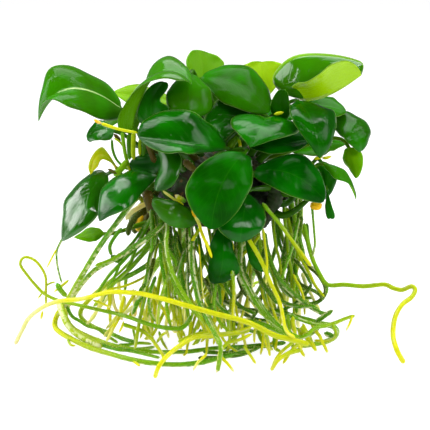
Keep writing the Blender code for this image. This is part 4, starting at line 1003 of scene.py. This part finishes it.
# each bundle: its width at its start and end, its places, how many strands it has, how thick and
# how ripe they are, and how far they leave its middle
bundleShape = dict(spacing=4.0, sides=10, jitter=0.2, winding=(0.6, 2.0), flare=0.5, leastAway=0.4,
                   thickness=(0.75, 1.15), taper=0.8, cut=(0.86, 1.0), tone=(-0.06, 0.10),
                   firstSide=(1.0, 0.3, 0.1), lowest=0.4, forkStrands=3, strandSeedStep=5.1,
                   forkSeedStep=4.0, seedStep=9.0, seed=23)
bundlePlaces = {
    "hang_middle": dict(slot="yellow", width=(4.6, 2.2), strands=3, thick=2.7, ripe=(0.22, 0.46),
        spread=0.55,
        points=(-15, 58, -32, -14, 50, -42, -14, 42, -48, -13, 32, -52, -11, 23, -56, -9, 15, -60, -5, 7,
            -68, -1, -1, -80, 2, -9, -90, 0, -22, None)),
    "front_right": dict(slot="green", width=(7, 5), strands=4, thick=3, ripe=(0.2, 0.32), spread=0.66,
        points=(12, 52, -20, 12, 34, -34, 18, 22, -46, 27, 10, -56, 36, 2, -64, 46, -2, -70)),
    "right_bundle": dict(slot="green", width=(10, 8), strands=8, thick=2.5, ripe=(0.18, 0.32), spread=0.8,
        points=(43, 76.5, -4, 43, 62, -7, 40, 46, -11, 37, 32, -10, 41, 23, -8, 54, 20, -6)),
    "back_left": dict(slot="green", width=(9, 4.5), strands=4, thick=2.6, ripe=(0.28, 0.5), spread=0.62,
        points=(-16, 60, 12, -22, 50, 20, -27, 38, 34, -29, 28, 54, -26, 25, None, -18, 27, None),
        forks=(
            dict(width=(6.5, 4), points=(-20, 54, 16, -29, 43, 22, -37, 31, 32, -41, 20, 46, -44, 17.5,
                None, -40, 20, None)),
            dict(width=(6.5, 4), points=(-20, 53, 18, -17, 43, 32, -10, 31, 48, -6, 24, 66, -4, 22, None,
                2, 24, None)))),
    "back_right": dict(slot="green", width=(9, 4.5), strands=4, thick=2.6, ripe=(0.26, 0.5), spread=0.62,
        points=(18, 56, 14, 21, 48, 22, 21, 38, 34, 18, 28, 54, 18, 25, None, 24, 27, None),
        forks=(
            dict(width=(6.5, 4), points=(20, 51, 19, 27, 42, 26, 32, 30, 38, 34, 21, 56, 37, 20.5, None,
                42, 22, None)),
            dict(width=(6.5, 4), points=(19, 51, 18, 12, 42, 26, 6, 29, 34, 2, 17, 44, -2, 14, None, -9,
                13.5, None)))),
}


def bundleTubes(place, look, strands, dice, seed):
    # strands that wind loosely round the bundle's middle
    shape = bundleShape
    path = evenPath(rootPoints(place), shape["spacing"])[0]
    startWidth, endWidth = place["width"]
    tubes = []
    for strand in range(strands):
        start = 2.0 * math.pi * (strand + dice.uniform(-shape["jitter"], shape["jitter"])) / strands
        winding = dice.uniform(*shape["winding"])
        placed = []
        for index, point in enumerate(path):
            share = index / (len(path) - 1)
            radius = 0.5 * (startWidth + (endWidth - startWidth) * share)
            ahead = (path[min(index + 1, len(path) - 1)] - path[max(index - 1, 0)]).normalized()
            side = acrossFrom(Vector(shape["firstSide"]), ahead)
            other = ahead.cross(side)
            angle = start + winding * share * math.pi
            away = max(radius - 0.5 * look["thick"], shape["leastAway"]) * look["spread"]
            away *= 1.0 + shape["flare"] * share
            spot = point + (side * math.cos(angle) + other * math.sin(angle)) * away
            spot.z = max(spot.z, shape["lowest"] * look["thick"])
            placed.append(spot)
        thick = look["thick"] * dice.uniform(*shape["thickness"])
        if strand:
            placed = placed[:max(int(len(placed) * dice.uniform(*shape["cut"])), 3)]
        tone = dice.uniform(*shape["tone"])
        strandSeed = seed + strand * shape["strandSeedStep"]
        tube = rootTube(placed, thick, thick * shape["taper"], shape["sides"], strandSeed)
        tubes.append((tube, look["ripe"][0] + tone, look["ripe"][1] + tone, 1.0))
    return tubes


def makeBundles():
    shape = bundleShape
    dice = random.Random(shape["seed"])
    for number, (name, place) in enumerate(bundlePlaces.items()):
        seed = number * shape["seedStep"]
        tubes = bundleTubes(place, place, place["strands"], dice, seed)
        for fork in place.get("forks", ()):
            tubes += bundleTubes(fork, place, shape["forkStrands"], dice, seed + shape["forkSeedStep"])
        joinTubes("bundle_" + name, tubes, "root_" + place["slot"], "root_" + name)
    print("bundles made:", len(bundlePlaces))


makeBundles()


def rowPoints(width, startDepth, endDepth, places):
    # the places of a row, from pixels; a depth of None means that it lies on the ground there
    spots = [pictured(place) for place in places]
    height = 0.5 * width * rootShape["press"]
    if startDepth is None:
        return [onGround(*spot, height) for spot in spots]
    if endDepth is None:
        endDepth = onGround(*spots[-1], height).y - plantShift.y
    last = len(spots) - 1
    points = [seen(*spot, startDepth + (endDepth - startDepth) * index / last)
              for index, spot in enumerate(spots)]
    for point in points:
        point.z = max(point.z, height)
    return points


def makeRows(name, rows, slot, look, number):
    # one piece from its rows; number is how many rows came before it
    tubes = []
    for width, startDepth, endDepth, ripeStart, ripeTip, hairy, *pixels in rows:
        number += 1
        points = rowPoints(width, startDepth, endDepth, grouped(pixels, 2))
        seed = look["seed"] + look["seedStep"] * number
        tube = rootTube(points, width, width * look["taper"], look["sides"], seed)
        tubes.append((tube, ripeStart, ripeTip, hairy))
    joinTubes(name, tubes, slot)
    return number


# fine roots beside the solids' roots, on the same forms. Each row: width in millimetres, depth
# at the start and at the end (None lies on the ground), how ripe it is at both, how much of the
# hair it has, and the places that it passes in the picture's frame, across and down in pixels
fineRootShape = dict(sides=9, taper=0.82, seed=40.0, seedStep=2.3)
fineRoots = {
    "left": [
        (1.2, -21, -21, 0.5, 0.66, 0.6, 46, 286, 51, 283, 56, 282),
        (1.2, -21, -22, 0.46, 0.8, 0.4, 45, 291, 41, 295, 38, 299),
        (1.3, -27, -12, 0.27, 0.33, 0.8, 63, 238, 57, 250, 57, 262, 59, 272, 62, 283),
        (1.1, -26, -24, 0.7, 0.86, 0.3, 57, 249, 53, 256, 50, 262, 47, 268),
        (1.7, -12, -14, 0.62, 0.84, 0.2, 69, 280, 62, 286, 54, 292),
        (3.4, -12, -16, 0.3, 0.42, 1, 57, 283, 60, 289, 67, 297),
        (1.7, -33, -35, 0.7, 0.9, 0.1, 43, 311, 42, 315, 41, 320),
        (1.4, -48, -52, 0.62, 0.88, 0.2, 124, 321, 122, 327, 119, 333),
        (1.6, -44, -46, 0.56, 0.9, 0.2, 93, 300, 103, 304, 112, 308),
        (1.6, None, None, 0.4, 0.62, 0.6, 68, 339, 71, 345, 76, 346),
        (4.4, 0, None, 0.5, 0.56, 1, 60, 302, 63, 314, 71, 328, 86, 340, 102, 347),
        (2.2, -3, None, 0.27, 0.44, 1, 67, 306, 72, 316, 80, 321, 88, 326, 98, 329, 105, 334, 112, 339,
            118, 343),
        (2.2, None, None, 0.27, 0.44, 1, 98, 344, 120, 350, 140, 349, 155, 347),
        (2, None, None, 0.33, 0.48, 0.8, 118, 345, 128, 345, 140, 343, 152, 344),
        (2.2, None, None, 0.25, 0.39, 1, 116, 348, 140, 353, 160, 358),
        (2.4, -40, None, 0.46, 0.7, 0.5, 122, 324, 140, 330, 150, 337, 157, 346, 163, 355, 165, 363),
        (1.6, -36, None, 0.46, 0.66, 0.6, 133, 328, 135, 337, 136, 345),
        (1.5, -40, -44, 0.5, 0.72, 0.5, 147, 326, 149, 331, 151, 338),
        (1.8, -44, None, 0.44, 0.66, 0.6, 159, 331, 163, 342, 168, 350),
    ],
    "middle": [
        (2.4, -40, -56, 0.27, 0.48, 1, 168, 218, 166, 240, 167, 255, 170, 268, 173, 280, 178, 292, 185,
            301, 200, 318, 210, 330),
        (2.2, -38, -60, 0.28, 0.51, 1, 190, 226, 191, 250, 192, 270, 195, 288, 198, 305),
        (2.2, -36, -56, 0.11, 0.23, 1, 187, 226, 188, 262, 188, 285, 190, 302),
        (2.1, -42, -54, 0.22, 0.47, 1, 160, 243, 162, 265, 165, 280, 166, 300, 168, 315, 171, 327),
        (2.6, -40, -46, 0.12, 0.23, 1, 158, 238, 151, 255, 148, 270, 146, 286),
        (2.4, -38, -50, 0.23, 0.39, 1, 186, 250, 180, 268, 178, 280, 174, 297),
        (2.6, -38, -46, 0.09, 0.2, 1, 154, 258, 150, 275, 145, 285, 139, 292),
        (2.2, -40, -50, 0.22, 0.44, 1, 156, 276, 150, 295, 150, 310, 156, 322),
        (3, -42, -46, 0.23, 0.31, 1, 143, 295, 136, 305, 132, 315),
        (0.9, -42, -56, 0.8, 0.84, 0.2, 199, 244, 201, 265, 202, 285, 204, 298, 208, 307),
        (2.2, -42, -44, 0.46, 0.84, 0.3, 200, 228, 193, 240, 189, 247),
        (2, -44, -59, 0.82, 0.76, 0, 195, 216, 199, 223, 201, 230, 204, 238, 208, 247, 212, 258),
        (2.1, -34, -50, 0.17, 0.34, 1, 176, 232, 175, 252, 181, 272, 186, 296, 196, 312),
        (2.2, -30, -46, 0.12, 0.27, 1, 206, 240, 210, 262, 212, 284, 218, 304, 232, 316),
        (2.4, -28, -40, 0.11, 0.23, 1, 221, 236, 220, 262, 226, 286, 238, 304, 256, 314),
        (2.2, -40, -58, 0.25, 0.47, 0.9, 214, 262, 216, 284, 214, 304, 220, 322, 232, 333),
    ],
    "right": [
        (1.8, -36, -44, 0.56, 0.86, 0.3, 263, 228, 265, 245, 267, 262, 266, 284),
        (1.3, -38, -40, 0.6, 0.86, 0.2, 231, 238, 233, 245, 234, 251),
        (2.2, -48, -62, 0.42, 0.74, 0.6, 232, 270, 234, 285, 234, 300, 233, 320),
        (2.8, -34, -44, 0.11, 0.22, 1, 255, 266, 262, 282, 270, 294, 278, 304),
        (2.4, -22, -30, 0.14, 0.27, 1, 302, 216, 300, 235, 303, 250, 306, 264),
        (2.4, -24, -34, 0.22, 0.36, 0.9, 299, 218, 293, 245, 286, 265, 281, 282),
        (2.2, -18, -20, 0.16, 0.34, 1, 307, 223, 308, 240, 312, 255, 316, 268, 322, 278, 327, 287, 326,
            295),
        (1.5, -26, -20, 0.28, 0.41, 0.8, 312, 205, 315, 240, 314, 250, 312, 258),
        (2.4, -18, -14, 0.12, 0.27, 1, 294, 258, 305, 272, 312, 285),
        (2.8, -24, -34, 0.16, 0.31, 1, 281, 280, 292, 292, 300, 298, 310, 305, 320, 311),
        (2.6, -30, -40, 0.12, 0.28, 1, 262, 280, 276, 298, 296, 306, 316, 306),
        (2.8, -14, -6, 0.09, 0.22, 1, 302, 262, 318, 274, 326, 290, 318, 302, 300, 304),
        (2.4, -16, -10, 0.08, 0.19, 1, 290, 270, 300, 284, 316, 292, 324, 300),
        (2.2, -20, -26, 0.12, 0.25, 1, 312, 284, 304, 296, 292, 306, 276, 312),
        (1.5, -52, -58, 0.7, 0.9, 0.1, 353, 315, 350, 323, 346, 331),
        (1.8, -46, -40, 0.46, 0.66, 0.6, 331, 322, 336, 333, 333, 339, 325, 341, 314, 340),
        (2.4, -42, -50, 0.31, 0.48, 0.8, 320, 326, 313, 333, 305, 337, 289, 338),
        (2.1, -50, -44, 0.31, 0.48, 0.8, 288, 314, 304, 321, 322, 325, 338, 323),
        (3, -42, -44, 0.23, 0.22, 1, 316, 322, 326, 315, 333, 310),
        (3.4, -38, -38, 0.27, 0.22, 1, 324, 333, 330, 335, 335, 338),
        (2.8, -42, -46, 0.31, 0.14, 1, 305, 337, 310, 341, 313, 346),
    ],
    "tips": [
        (2.2, -60, None, 0.52, 0.8, 0.3, 300, 341, 297, 345, 290, 353, 283, 364),
        (2, -62, None, 0.48, 0.8, 0.3, 294, 340, 290, 345, 282, 352, 275, 361, 272, 370),
        (1.9, -70, None, 0.52, 0.84, 0.3, 244, 345, 248, 352, 252, 358, 256, 364),
        (1.9, -66, None, 0.5, 0.78, 0.4, 266, 334, 268, 340, 269, 348, 270, 356),
        (1.7, -78, None, 0.78, 0.9, 0.1, 207, 352, 205, 356, 198, 362, 193, 371),
        (1.8, None, None, 0.5, 0.8, 0.3, 130, 358, 135, 362, 140, 366),
        (2.2, -62, None, 0.6, 0.9, 0.2, 200, 310, 207, 325, 213, 335, 220, 345, 219, 358, 217, 373),
        (1.9, -84, None, 0.62, 0.92, 0.1, 219, 355, 228, 364, 234, 372),
        (2.2, -70, -64, 0.5, 0.7, 0.5, 220, 352, 228, 343, 240, 340, 252, 334),
        (1.7, -60, None, 0.56, 0.8, 0.3, 178, 333, 180, 340, 181, 349),
        (1.7, -52, -56, 0.5, 0.66, 0.5, 157, 343, 162, 335, 168, 332),
        (2.3, -58, -62, 0.56, 0.62, 0.4, 178, 342, 195, 335, 210, 333, 225, 335, 240, 331, 252, 327),
        (2.4, None, None, 0.16, 0.27, 1, 203, 352, 225, 353, 240, 350, 255, 347, 270, 346, 284, 342),
        (2.2, None, None, 0.12, 0.23, 1, 198, 358, 225, 357, 245, 354, 260, 347),
    ],
    "behind": [
        (2.8, -24, -10, 0.09, 0.19, 1, 204, 278, 216, 296, 238, 308, 266, 312, 290, 318),
        (2.8, -20, -6, 0.11, 0.23, 1, 238, 276, 246, 294, 262, 306, 284, 312),
        (2.6, -22, -14, 0.08, 0.16, 1, 248, 282, 236, 298, 216, 308, 196, 316),
        (2.8, -12, 0, 0.09, 0.2, 1, 212, 290, 230, 302, 252, 318, 280, 322),
        (2.6, -16, None, 0.12, 0.27, 1, 226, 292, 224, 306, 232, 320, 248, 330, 268, 334),
        (2.6, -14, None, 0.12, 0.27, 1, 262, 294, 256, 312, 244, 326, 226, 334, 206, 338),
        (2.6, -18, None, 0.16, 0.31, 1, 278, 296, 282, 312, 290, 326, 306, 332),
    ],
}


def makeFineRoots():
    made = 0
    for name, rows in fineRoots.items():
        made = makeRows("fine_roots_" + name, rows, "root_green", fineRootShape, made)
    print("fine roots made:", made)


makeFineRoots()

# a tangle of finer roots between the others: the part of the picture it fills, in pixels (left,
# top, right, bottom), its depths, how many it has, their length, and how ripe they are
tangleShape = dict(width=(1.8, 3.0), taper=0.7, sides=8, steps=7, fall=(0.0, -0.16, -1.0), fan=0.003,
                   turn=0.22, bend=0.12, hairy=0.35, ripening=0.16, ripest=0.86, rootSeed=200.0,
                   seed=31)
tangles = {
    "middle": dict(box=(158, 214, 262, 240), depth=(-24, 18), count=30, length=(50, 84), ripe=(0.26, 0.56)),
    "short": dict(box=(170, 272, 300, 304), depth=(-36, 0), count=14, length=(14, 30), ripe=(0.3, 0.66)),
    "low": dict(box=(172, 308, 318, 330), depth=(-52, -30), count=26, length=(12, 26), ripe=(0.36, 0.72)),
    "left": dict(box=(106, 284, 160, 318), depth=(-34, -12), count=14, length=(14, 28), ripe=(0.44, 0.86)),
    "upper": dict(box=(172, 228, 268, 258), depth=(-30, 0), count=16, length=(16, 40), ripe=(0.04, 0.38)),
    "right": dict(box=(270, 194, 304, 210), depth=(-18, 8), count=11, length=(40, 70), ripe=(0.2, 0.46),
        turn=0.08),
    "slope": dict(box=(140, 214, 170, 240), depth=(-26, -12), count=6, length=(40, 56), ripe=(0.2, 0.38),
        fall=(-0.62, -0.05, -0.8), turn=0.08),
    "pale": dict(box=(178, 258, 304, 306), depth=(-6, 22), count=26, length=(16, 34), ripe=(0.8, 0.91)),
    "stone": dict(box=(146, 200, 176, 226), depth=(-34, -22), count=12, length=(14, 30), ripe=(0.06, 0.3)),
    "flakes": dict(box=(112, 276, 180, 306), depth=(-18, 2), count=14, length=(12, 24), ripe=(0.83, 0.93)),
}


def makeTangles():
    dice = random.Random(tangleShape["seed"])

    def swerve(strength):
        return Vector([dice.gauss(0.0, strength) for _ in range(3)])

    for name, place in tangles.items():
        look = {**tangleShape, **place}
        left, top, right, bottom = look["box"]
        tubes = []
        for number in range(look["count"]):
            pixel = dice.uniform(left, right), dice.uniform(top, bottom)
            spot = seen(*pictured(pixel), dice.uniform(*look["depth"]))
            step = dice.uniform(*look["length"]) / look["steps"]
            heading = Vector(look["fall"]) + swerve(look["turn"])
            heading.x += look["fan"] * spot.x
            width = dice.uniform(*look["width"])
            points = [spot]
            for _ in range(look["steps"]):
                heading = (heading + swerve(look["bend"])).normalized()
                spot = spot + heading * step
                spot.z = max(spot.z, 0.5 * width)
                points.append(spot)
            ripe = dice.uniform(*look["ripe"])
            tip = min(ripe + look["ripening"], max(ripe, look["ripest"]))
            seed = look["rootSeed"] + number
            tube = rootTube(points, width, width * look["taper"], look["sides"], seed)
            tubes.append((tube, ripe, tip, look["hairy"]))
        joinTubes("tangle_" + name, tubes, "root_green")
    print("tangles made:", len(tangles))


makeTangles()

# small bits between the leaves, as rows like those of the fine roots
smallBitShape = dict(sides=10, taper=0.9, seed=300.0, seedStep=1.7)
smallBits = {
    "old_stalks": ("leaf_old", [
        (1.9, -27, -30, 1.02, 0.97, 0, 94, 119.5, 98, 122, 102, 123.6),
        (1.9, -29.5, -36, 0.7, 0.58, 0, 101, 123.3, 112, 127, 124, 130.5, 138, 133),
        (2.9, -24, -26, 0.5, 0.54, 0, 134, 132, 133.5, 142, 133.5, 152, 134, 160),
        (2, -24, -26, 0.44, 0.56, 0, 140, 139, 140, 147, 140, 156),
        (1.6, -30, -30, 0.84, 0.78, 0, 163, 191, 170, 196, 177, 201, 184, 205),
        (2, -43.5, -45, 1.02, 0.97, 0, 192, 210, 194, 214, 196.5, 219),
        (2.4, -22, -22, 0.64, 0.64, 0, 314, 159, 319, 157.5, 323, 156),
        (1.9, -12, -12, 0.6, 0.89, 0, 322, 158, 327, 158, 332, 156),
        (2.2, -17, -17, 0.58, 0.6, 0, 274, 114.5, 279, 113.5, 284, 112.5),
        (5, -30, -30, 1.06, 1, 0, 311, 203, 316, 206.5, 322, 204),
        (2, -30, -30, 0.02, 0.06, 0, 108, 169, 112, 171, 117, 174),
    ]),
    "green_stalks": ("leaf_dark", [
        (2.3, -22, -24, 0.34, 0.4, 0, 122, 132, 124, 144, 126, 156, 129, 167),
        (2.6, -18, -18, 0.22, 0.3, 0, 129, 134, 129, 146, 130, 160),
        (2.2, -20, -20, 0.2, 0.2, 0, 145, 140, 144, 150, 143, 160),
        (1.6, -18, -20, 0.2, 0.3, 0, 112, 139, 113, 150, 117, 160, 124, 167, 129, 170),
        (1.3, -19, -20, 0.56, 0.5, 0, 114, 138, 120, 142, 125, 149),
        (1.8, -22, -22, 0.5, 0.56, 0, 126, 160, 128, 166, 131, 172),
        (3.8, -26, -28, 0.42, 0.36, 0, 128, 160, 122, 168, 114, 176),
        (5.6, -5, -5, 0.38, 0.3, 0, 228, 148, 234, 140, 239, 131),
        (5, 14, 14, 0.24, 0.24, 0, 210, 90, 214, 97, 219, 105),
        (2.4, -16, -16, 0.3, 0.3, 0, 141, 146, 141, 152, 141, 160),
        (3, -14, -14, 0.13, 0.13, 0, 152, 169, 157, 174, 162, 179),
        (2.4, -4, -4, 0.2, 0.2, 0, 260, 112, 265, 115, 269, 118),
        (2.3, -24, -24, 0.26, 0.34, 0.3, 122, 228, 115, 237, 110, 247, 112, 256),
        (4.6, -24, -24, 0.24, 0.28, 0.3, 111, 256, 116, 259, 124, 261),
    ]),
    "brown_sheaths": ("rhizome", [
        (3.6, -26, -26, 0.02, 0, 0.2, 148, 143, 151, 152, 155, 163),
        (6, -28, -30, 0, 0.02, 0.3, 147, 190, 149, 200, 153, 212),
        (5.4, -16, -18, 0.04, 0.08, 0.2, 153, 194, 151, 204, 151, 214),
        (6, -18, -18, 0.14, 0.12, 0.3, 156, 182, 150, 189, 144, 198),
        (5, -12, -12, 0.06, 0.1, 0.3, 161, 184, 156, 192, 153, 201),
        (4.6, -13, -13, 0.05, 0.02, 0.2, 186, 150, 193, 156, 200, 162),
        (3.8, -14, -14, 0.1, 0.06, 0.2, 180, 153, 183, 161, 184, 171),
        (3.4, -16, -16, 0.04, 0.04, 0.2, 152, 149, 157, 153, 163, 158),
        (1.9, -9, -9, 1, 0.03, 0, 241, 150, 240, 143, 237, 135),
        (4.2, -6, -8, 0.08, 0.14, 0.3, 145, 202, 137, 212, 130, 224),
        (5, -1, -1, 0.12, 0.2, 0.5, 156, 204, 153, 216, 150, 230, 149, 246),
        (3.4, -20, -20, 0.06, 0.1, 0.3, 144, 211, 136, 217, 130, 226, 128, 236),
        (5, -13, -14, 0.06, 0.01, 0.2, 146, 196, 144, 206, 144, 216),
        (6, -8, -8, 1.03, 0.98, 0.2, 145, 215, 141, 223, 139, 232),
        (4.6, -4, -4, 0.03, 0.08, 0.2, 138, 212, 136, 223, 135, 234),
        (4.8, -10, -10, 0.02, 0.1, 0.2, 149, 212, 147, 222, 148, 236),
        (4.4, -30, -30, 0.01, 0.01, 0.2, 184, 160, 190, 166, 196, 171),
        (3, -34, -34, 1, 0.02, 0.2, 175, 195, 181, 199, 187, 202),
        (3.4, -26, -28, 0.52, 0.48, 0.3, 150, 208, 153, 218, 155, 232, 156, 246),
        (2.4, -16, -16, 0.01, 0.02, 0, 114, 134, 118, 138, 121, 141),
        (3, -22, -24, 0.95, 0.93, 0.3, 148, 203, 140, 207, 131, 213, 126, 220),
    ]),
}


def makeSmallBits():
    made = 0
    for name, (slot, rows) in smallBits.items():
        made = makeRows(name, rows, slot, smallBitShape, made)
    print("small bits made:", len(smallBits))


makeSmallBits()


def makeStone():
    shape = stoneShape
    build = bmesh.new()
    bmesh.ops.create_icosphere(build, subdivisions=shape["detail"], radius=1.0)
    start = Vector(shape["noiseStart"])
    roughScale, *roughSettings = shape["roughNoise"]
    deepest = shape["pitSizes"][0][1]
    pitShades = []
    for vertex in build.verts:
        direction = vertex.co.normalized()
        lumps = noise.noise(direction * shape["lumps"] + start)
        grains = noise.noise(direction * shape["grains"])
        size = 1.0 + shape["lumpHeight"] * (lumps - shape["lumpLevel"]) + shape["grainHeight"] * grains
        spot = direction * stoneHalf * size
        sink = 0.0
        for scale, depth in shape["pitSizes"]:
            near = noise.voronoi(direction * scale)[0][0]
            sink += depth * (1.0 - smoothStep(*shape["pitEdge"], near))
        rough = shape["roughness"] * noise.fractal(direction * roughScale, *roughSettings)
        # how deep each pit is, which sets the painted shade in it
        pitShades.append(min(sink / deepest, 1.0))
        vertex.co = (stoneMiddle + spot + direction * (rough - sink)) * mm
    mesh = builtMesh("lava_stone", build, stoneMaterial)
    mesh.attributes.new("pitShade", "FLOAT", "POINT").data.foreach_set("value", pitShades)
    mesh.shade_smooth()
    settle(addObject("lava_stone", mesh), "stone", "stone")
    print("stone made")


makeStone()


def makeRhizome():
    shape = rhizomeShape
    parts = []
    for number, branch in enumerate(rhizomeBranches):
        path, length = evenPath(rhizomePath(branch), shape["step"])
        radii = []
        for index, point in enumerate(path):
            share = index / (len(path) - 1)
            fromEnd = min(share, 1.0 - share)
            ends = min(1.0, shape["end"] + shape["endGrowth"] * fromEnd)
            rings = math.pi * length * share / shape["ringSpacing"] + shape["ringShift"] * number
            ring = shape["ringDepth"] * abs(math.sin(rings)) ** shape["ringSharpness"]
            lump = shape["lumpiness"] * noise.noise(point * shape["lumps"])
            near = min(fromEnd * length / shape["tipLength"], 1.0)
            tip = math.sqrt(max(1.0 - (1.0 - near) ** 2, shape["leastEnd"]))
            radii.append(shape["radius"] * shape["body"] * ends * (1.0 - ring + lump) * tip)
        verts, faces = tubeOf(path, radii, shape["sides"])
        for index, vert in enumerate(verts):
            bark = noise.noise_vector(Vector(vert) * shape["bark"])
            verts[index] += np.array(bark) * shape["barkHeight"]
        parts.append((verts, faces))
    settle(newPiece("rhizome_bark", *joined(parts), rhizomeMaterial), "rhizome", "rhizome")
    print("rhizome made")


makeRhizome()


floorLook = dict(size=6.0, colour=(0.30, 0.30, 0.30), glow=0.90, roughness=0.7, shine=0.1)


def makeFloor():
    look = floorLook
    material, tree = startFinish("floor")
    fill(tree, tree.nodes["Principled BSDF"], {
        "Base Color": (*look["colour"], 1.0), "Roughness": look["roughness"],
        "Specular IOR Level": look["shine"], "Emission Color": (1.0, 1.0, 1.0, 1.0),
        "Emission Strength": look["glow"]})
    build = bmesh.new()
    bmesh.ops.create_grid(build, x_segments=1, y_segments=1, size=look["size"] / 2)
    floor = addObject("floor", builtMesh("floor", build, material))


softLights = {
    "softbox_top": dict(place=(0.0, 0.34, 0.92), aim=0.08, size=(0.80, 0.60), power=10.0),
    "softbox_left": dict(place=(-0.82, 0.12, 0.42), aim=0.09, size=(0.50, 0.50), power=6.0),
    "softbox_right": dict(place=(0.80, -0.10, 0.50), aim=0.07, size=(0.34, 0.40), power=2.4),
    "softbox_front": dict(place=(0.52, -0.92, 0.74), aim=0.07, size=(0.40, 0.40), power=6.0),
    "strip_left": dict(place=(-0.52, 0.16, 0.84), aim=0.10, size=(0.04, 0.60), power=1.8),
    "strip_right": dict(place=(0.50, 0.10, 0.86), aim=0.10, size=(0.04, 0.60), power=1.8),
    "strip_front": dict(place=(-0.20, -0.66, 0.80), aim=0.08, size=(0.50, 0.03), power=1.4),
    "strip_side": dict(place=(-0.80, -0.42, 0.52), aim=0.08, size=(0.03, 0.50), power=1.4),
}


def makeLights():
    # each light points at the plant's axis, at the height of its aim
    for name, look in softLights.items():
        data = bpy.data.lights.new(name, "AREA")
        data.shape = "RECTANGLE"
        data.size, data.size_y = look["size"]
        data.energy = look["power"]
        light = addObject(name, data)
        light.location = look["place"]
        aim = Vector((0.0, 0.0, look["aim"])) - Vector(look["place"])
        light.rotation_euler = aim.to_track_quat("-Z", "Y").to_euler()


surroundings = dict(front=(0.02, 0.02, 0.02), back=(0.20, 0.20, 0.20), change=(-0.1, 0.6), strength=0.8)


def makeSurroundings():
    # dark in front of the plant and pale behind it
    world = bpy.data.worlds.new("studio")
    bpy.context.scene.world = world
    world.use_nodes = True
    tree = world.node_tree
    tree.nodes.clear()
    direction = add(tree, "ShaderNodeTexCoord").outputs["Generated"]
    depth = add(tree, "ShaderNodeSeparateXYZ", {0: direction}).outputs[1]
    towardsBack = ramped(tree, depth, *surroundings["change"])
    colour = mixed(tree, towardsBack, surroundings["front"], surroundings["back"])
    around = add(tree, "ShaderNodeBackground", {0: colour, 1: surroundings["strength"]})
    add(tree, "ShaderNodeOutputWorld", {0: around.outputs[0]})


cameraLook = dict(sensor=36.0, nearest=0.05)


def makeCamera():
    distance = plantView["distance"] * mm
    width = pictureFrame["pixels"] * pictureFrame["scale"] * mm
    data = bpy.data.cameras.new("camera")
    data.sensor_width = cameraLook["sensor"]
    data.lens = data.sensor_width * distance / width
    data.clip_start = cameraLook["nearest"]
    camera = addObject("camera", data)
    camera.location = (viewMiddle + plantShift) * mm + viewBack * distance
    camera.rotation_euler = (-viewBack).to_track_quat("-Z", "Y").to_euler()
    bpy.context.scene.camera = camera


makeFloor()
makeLights()
makeSurroundings()
makeCamera()
bpy.context.scene.view_settings.view_transform = "Standard"
print("floor, light and camera set")
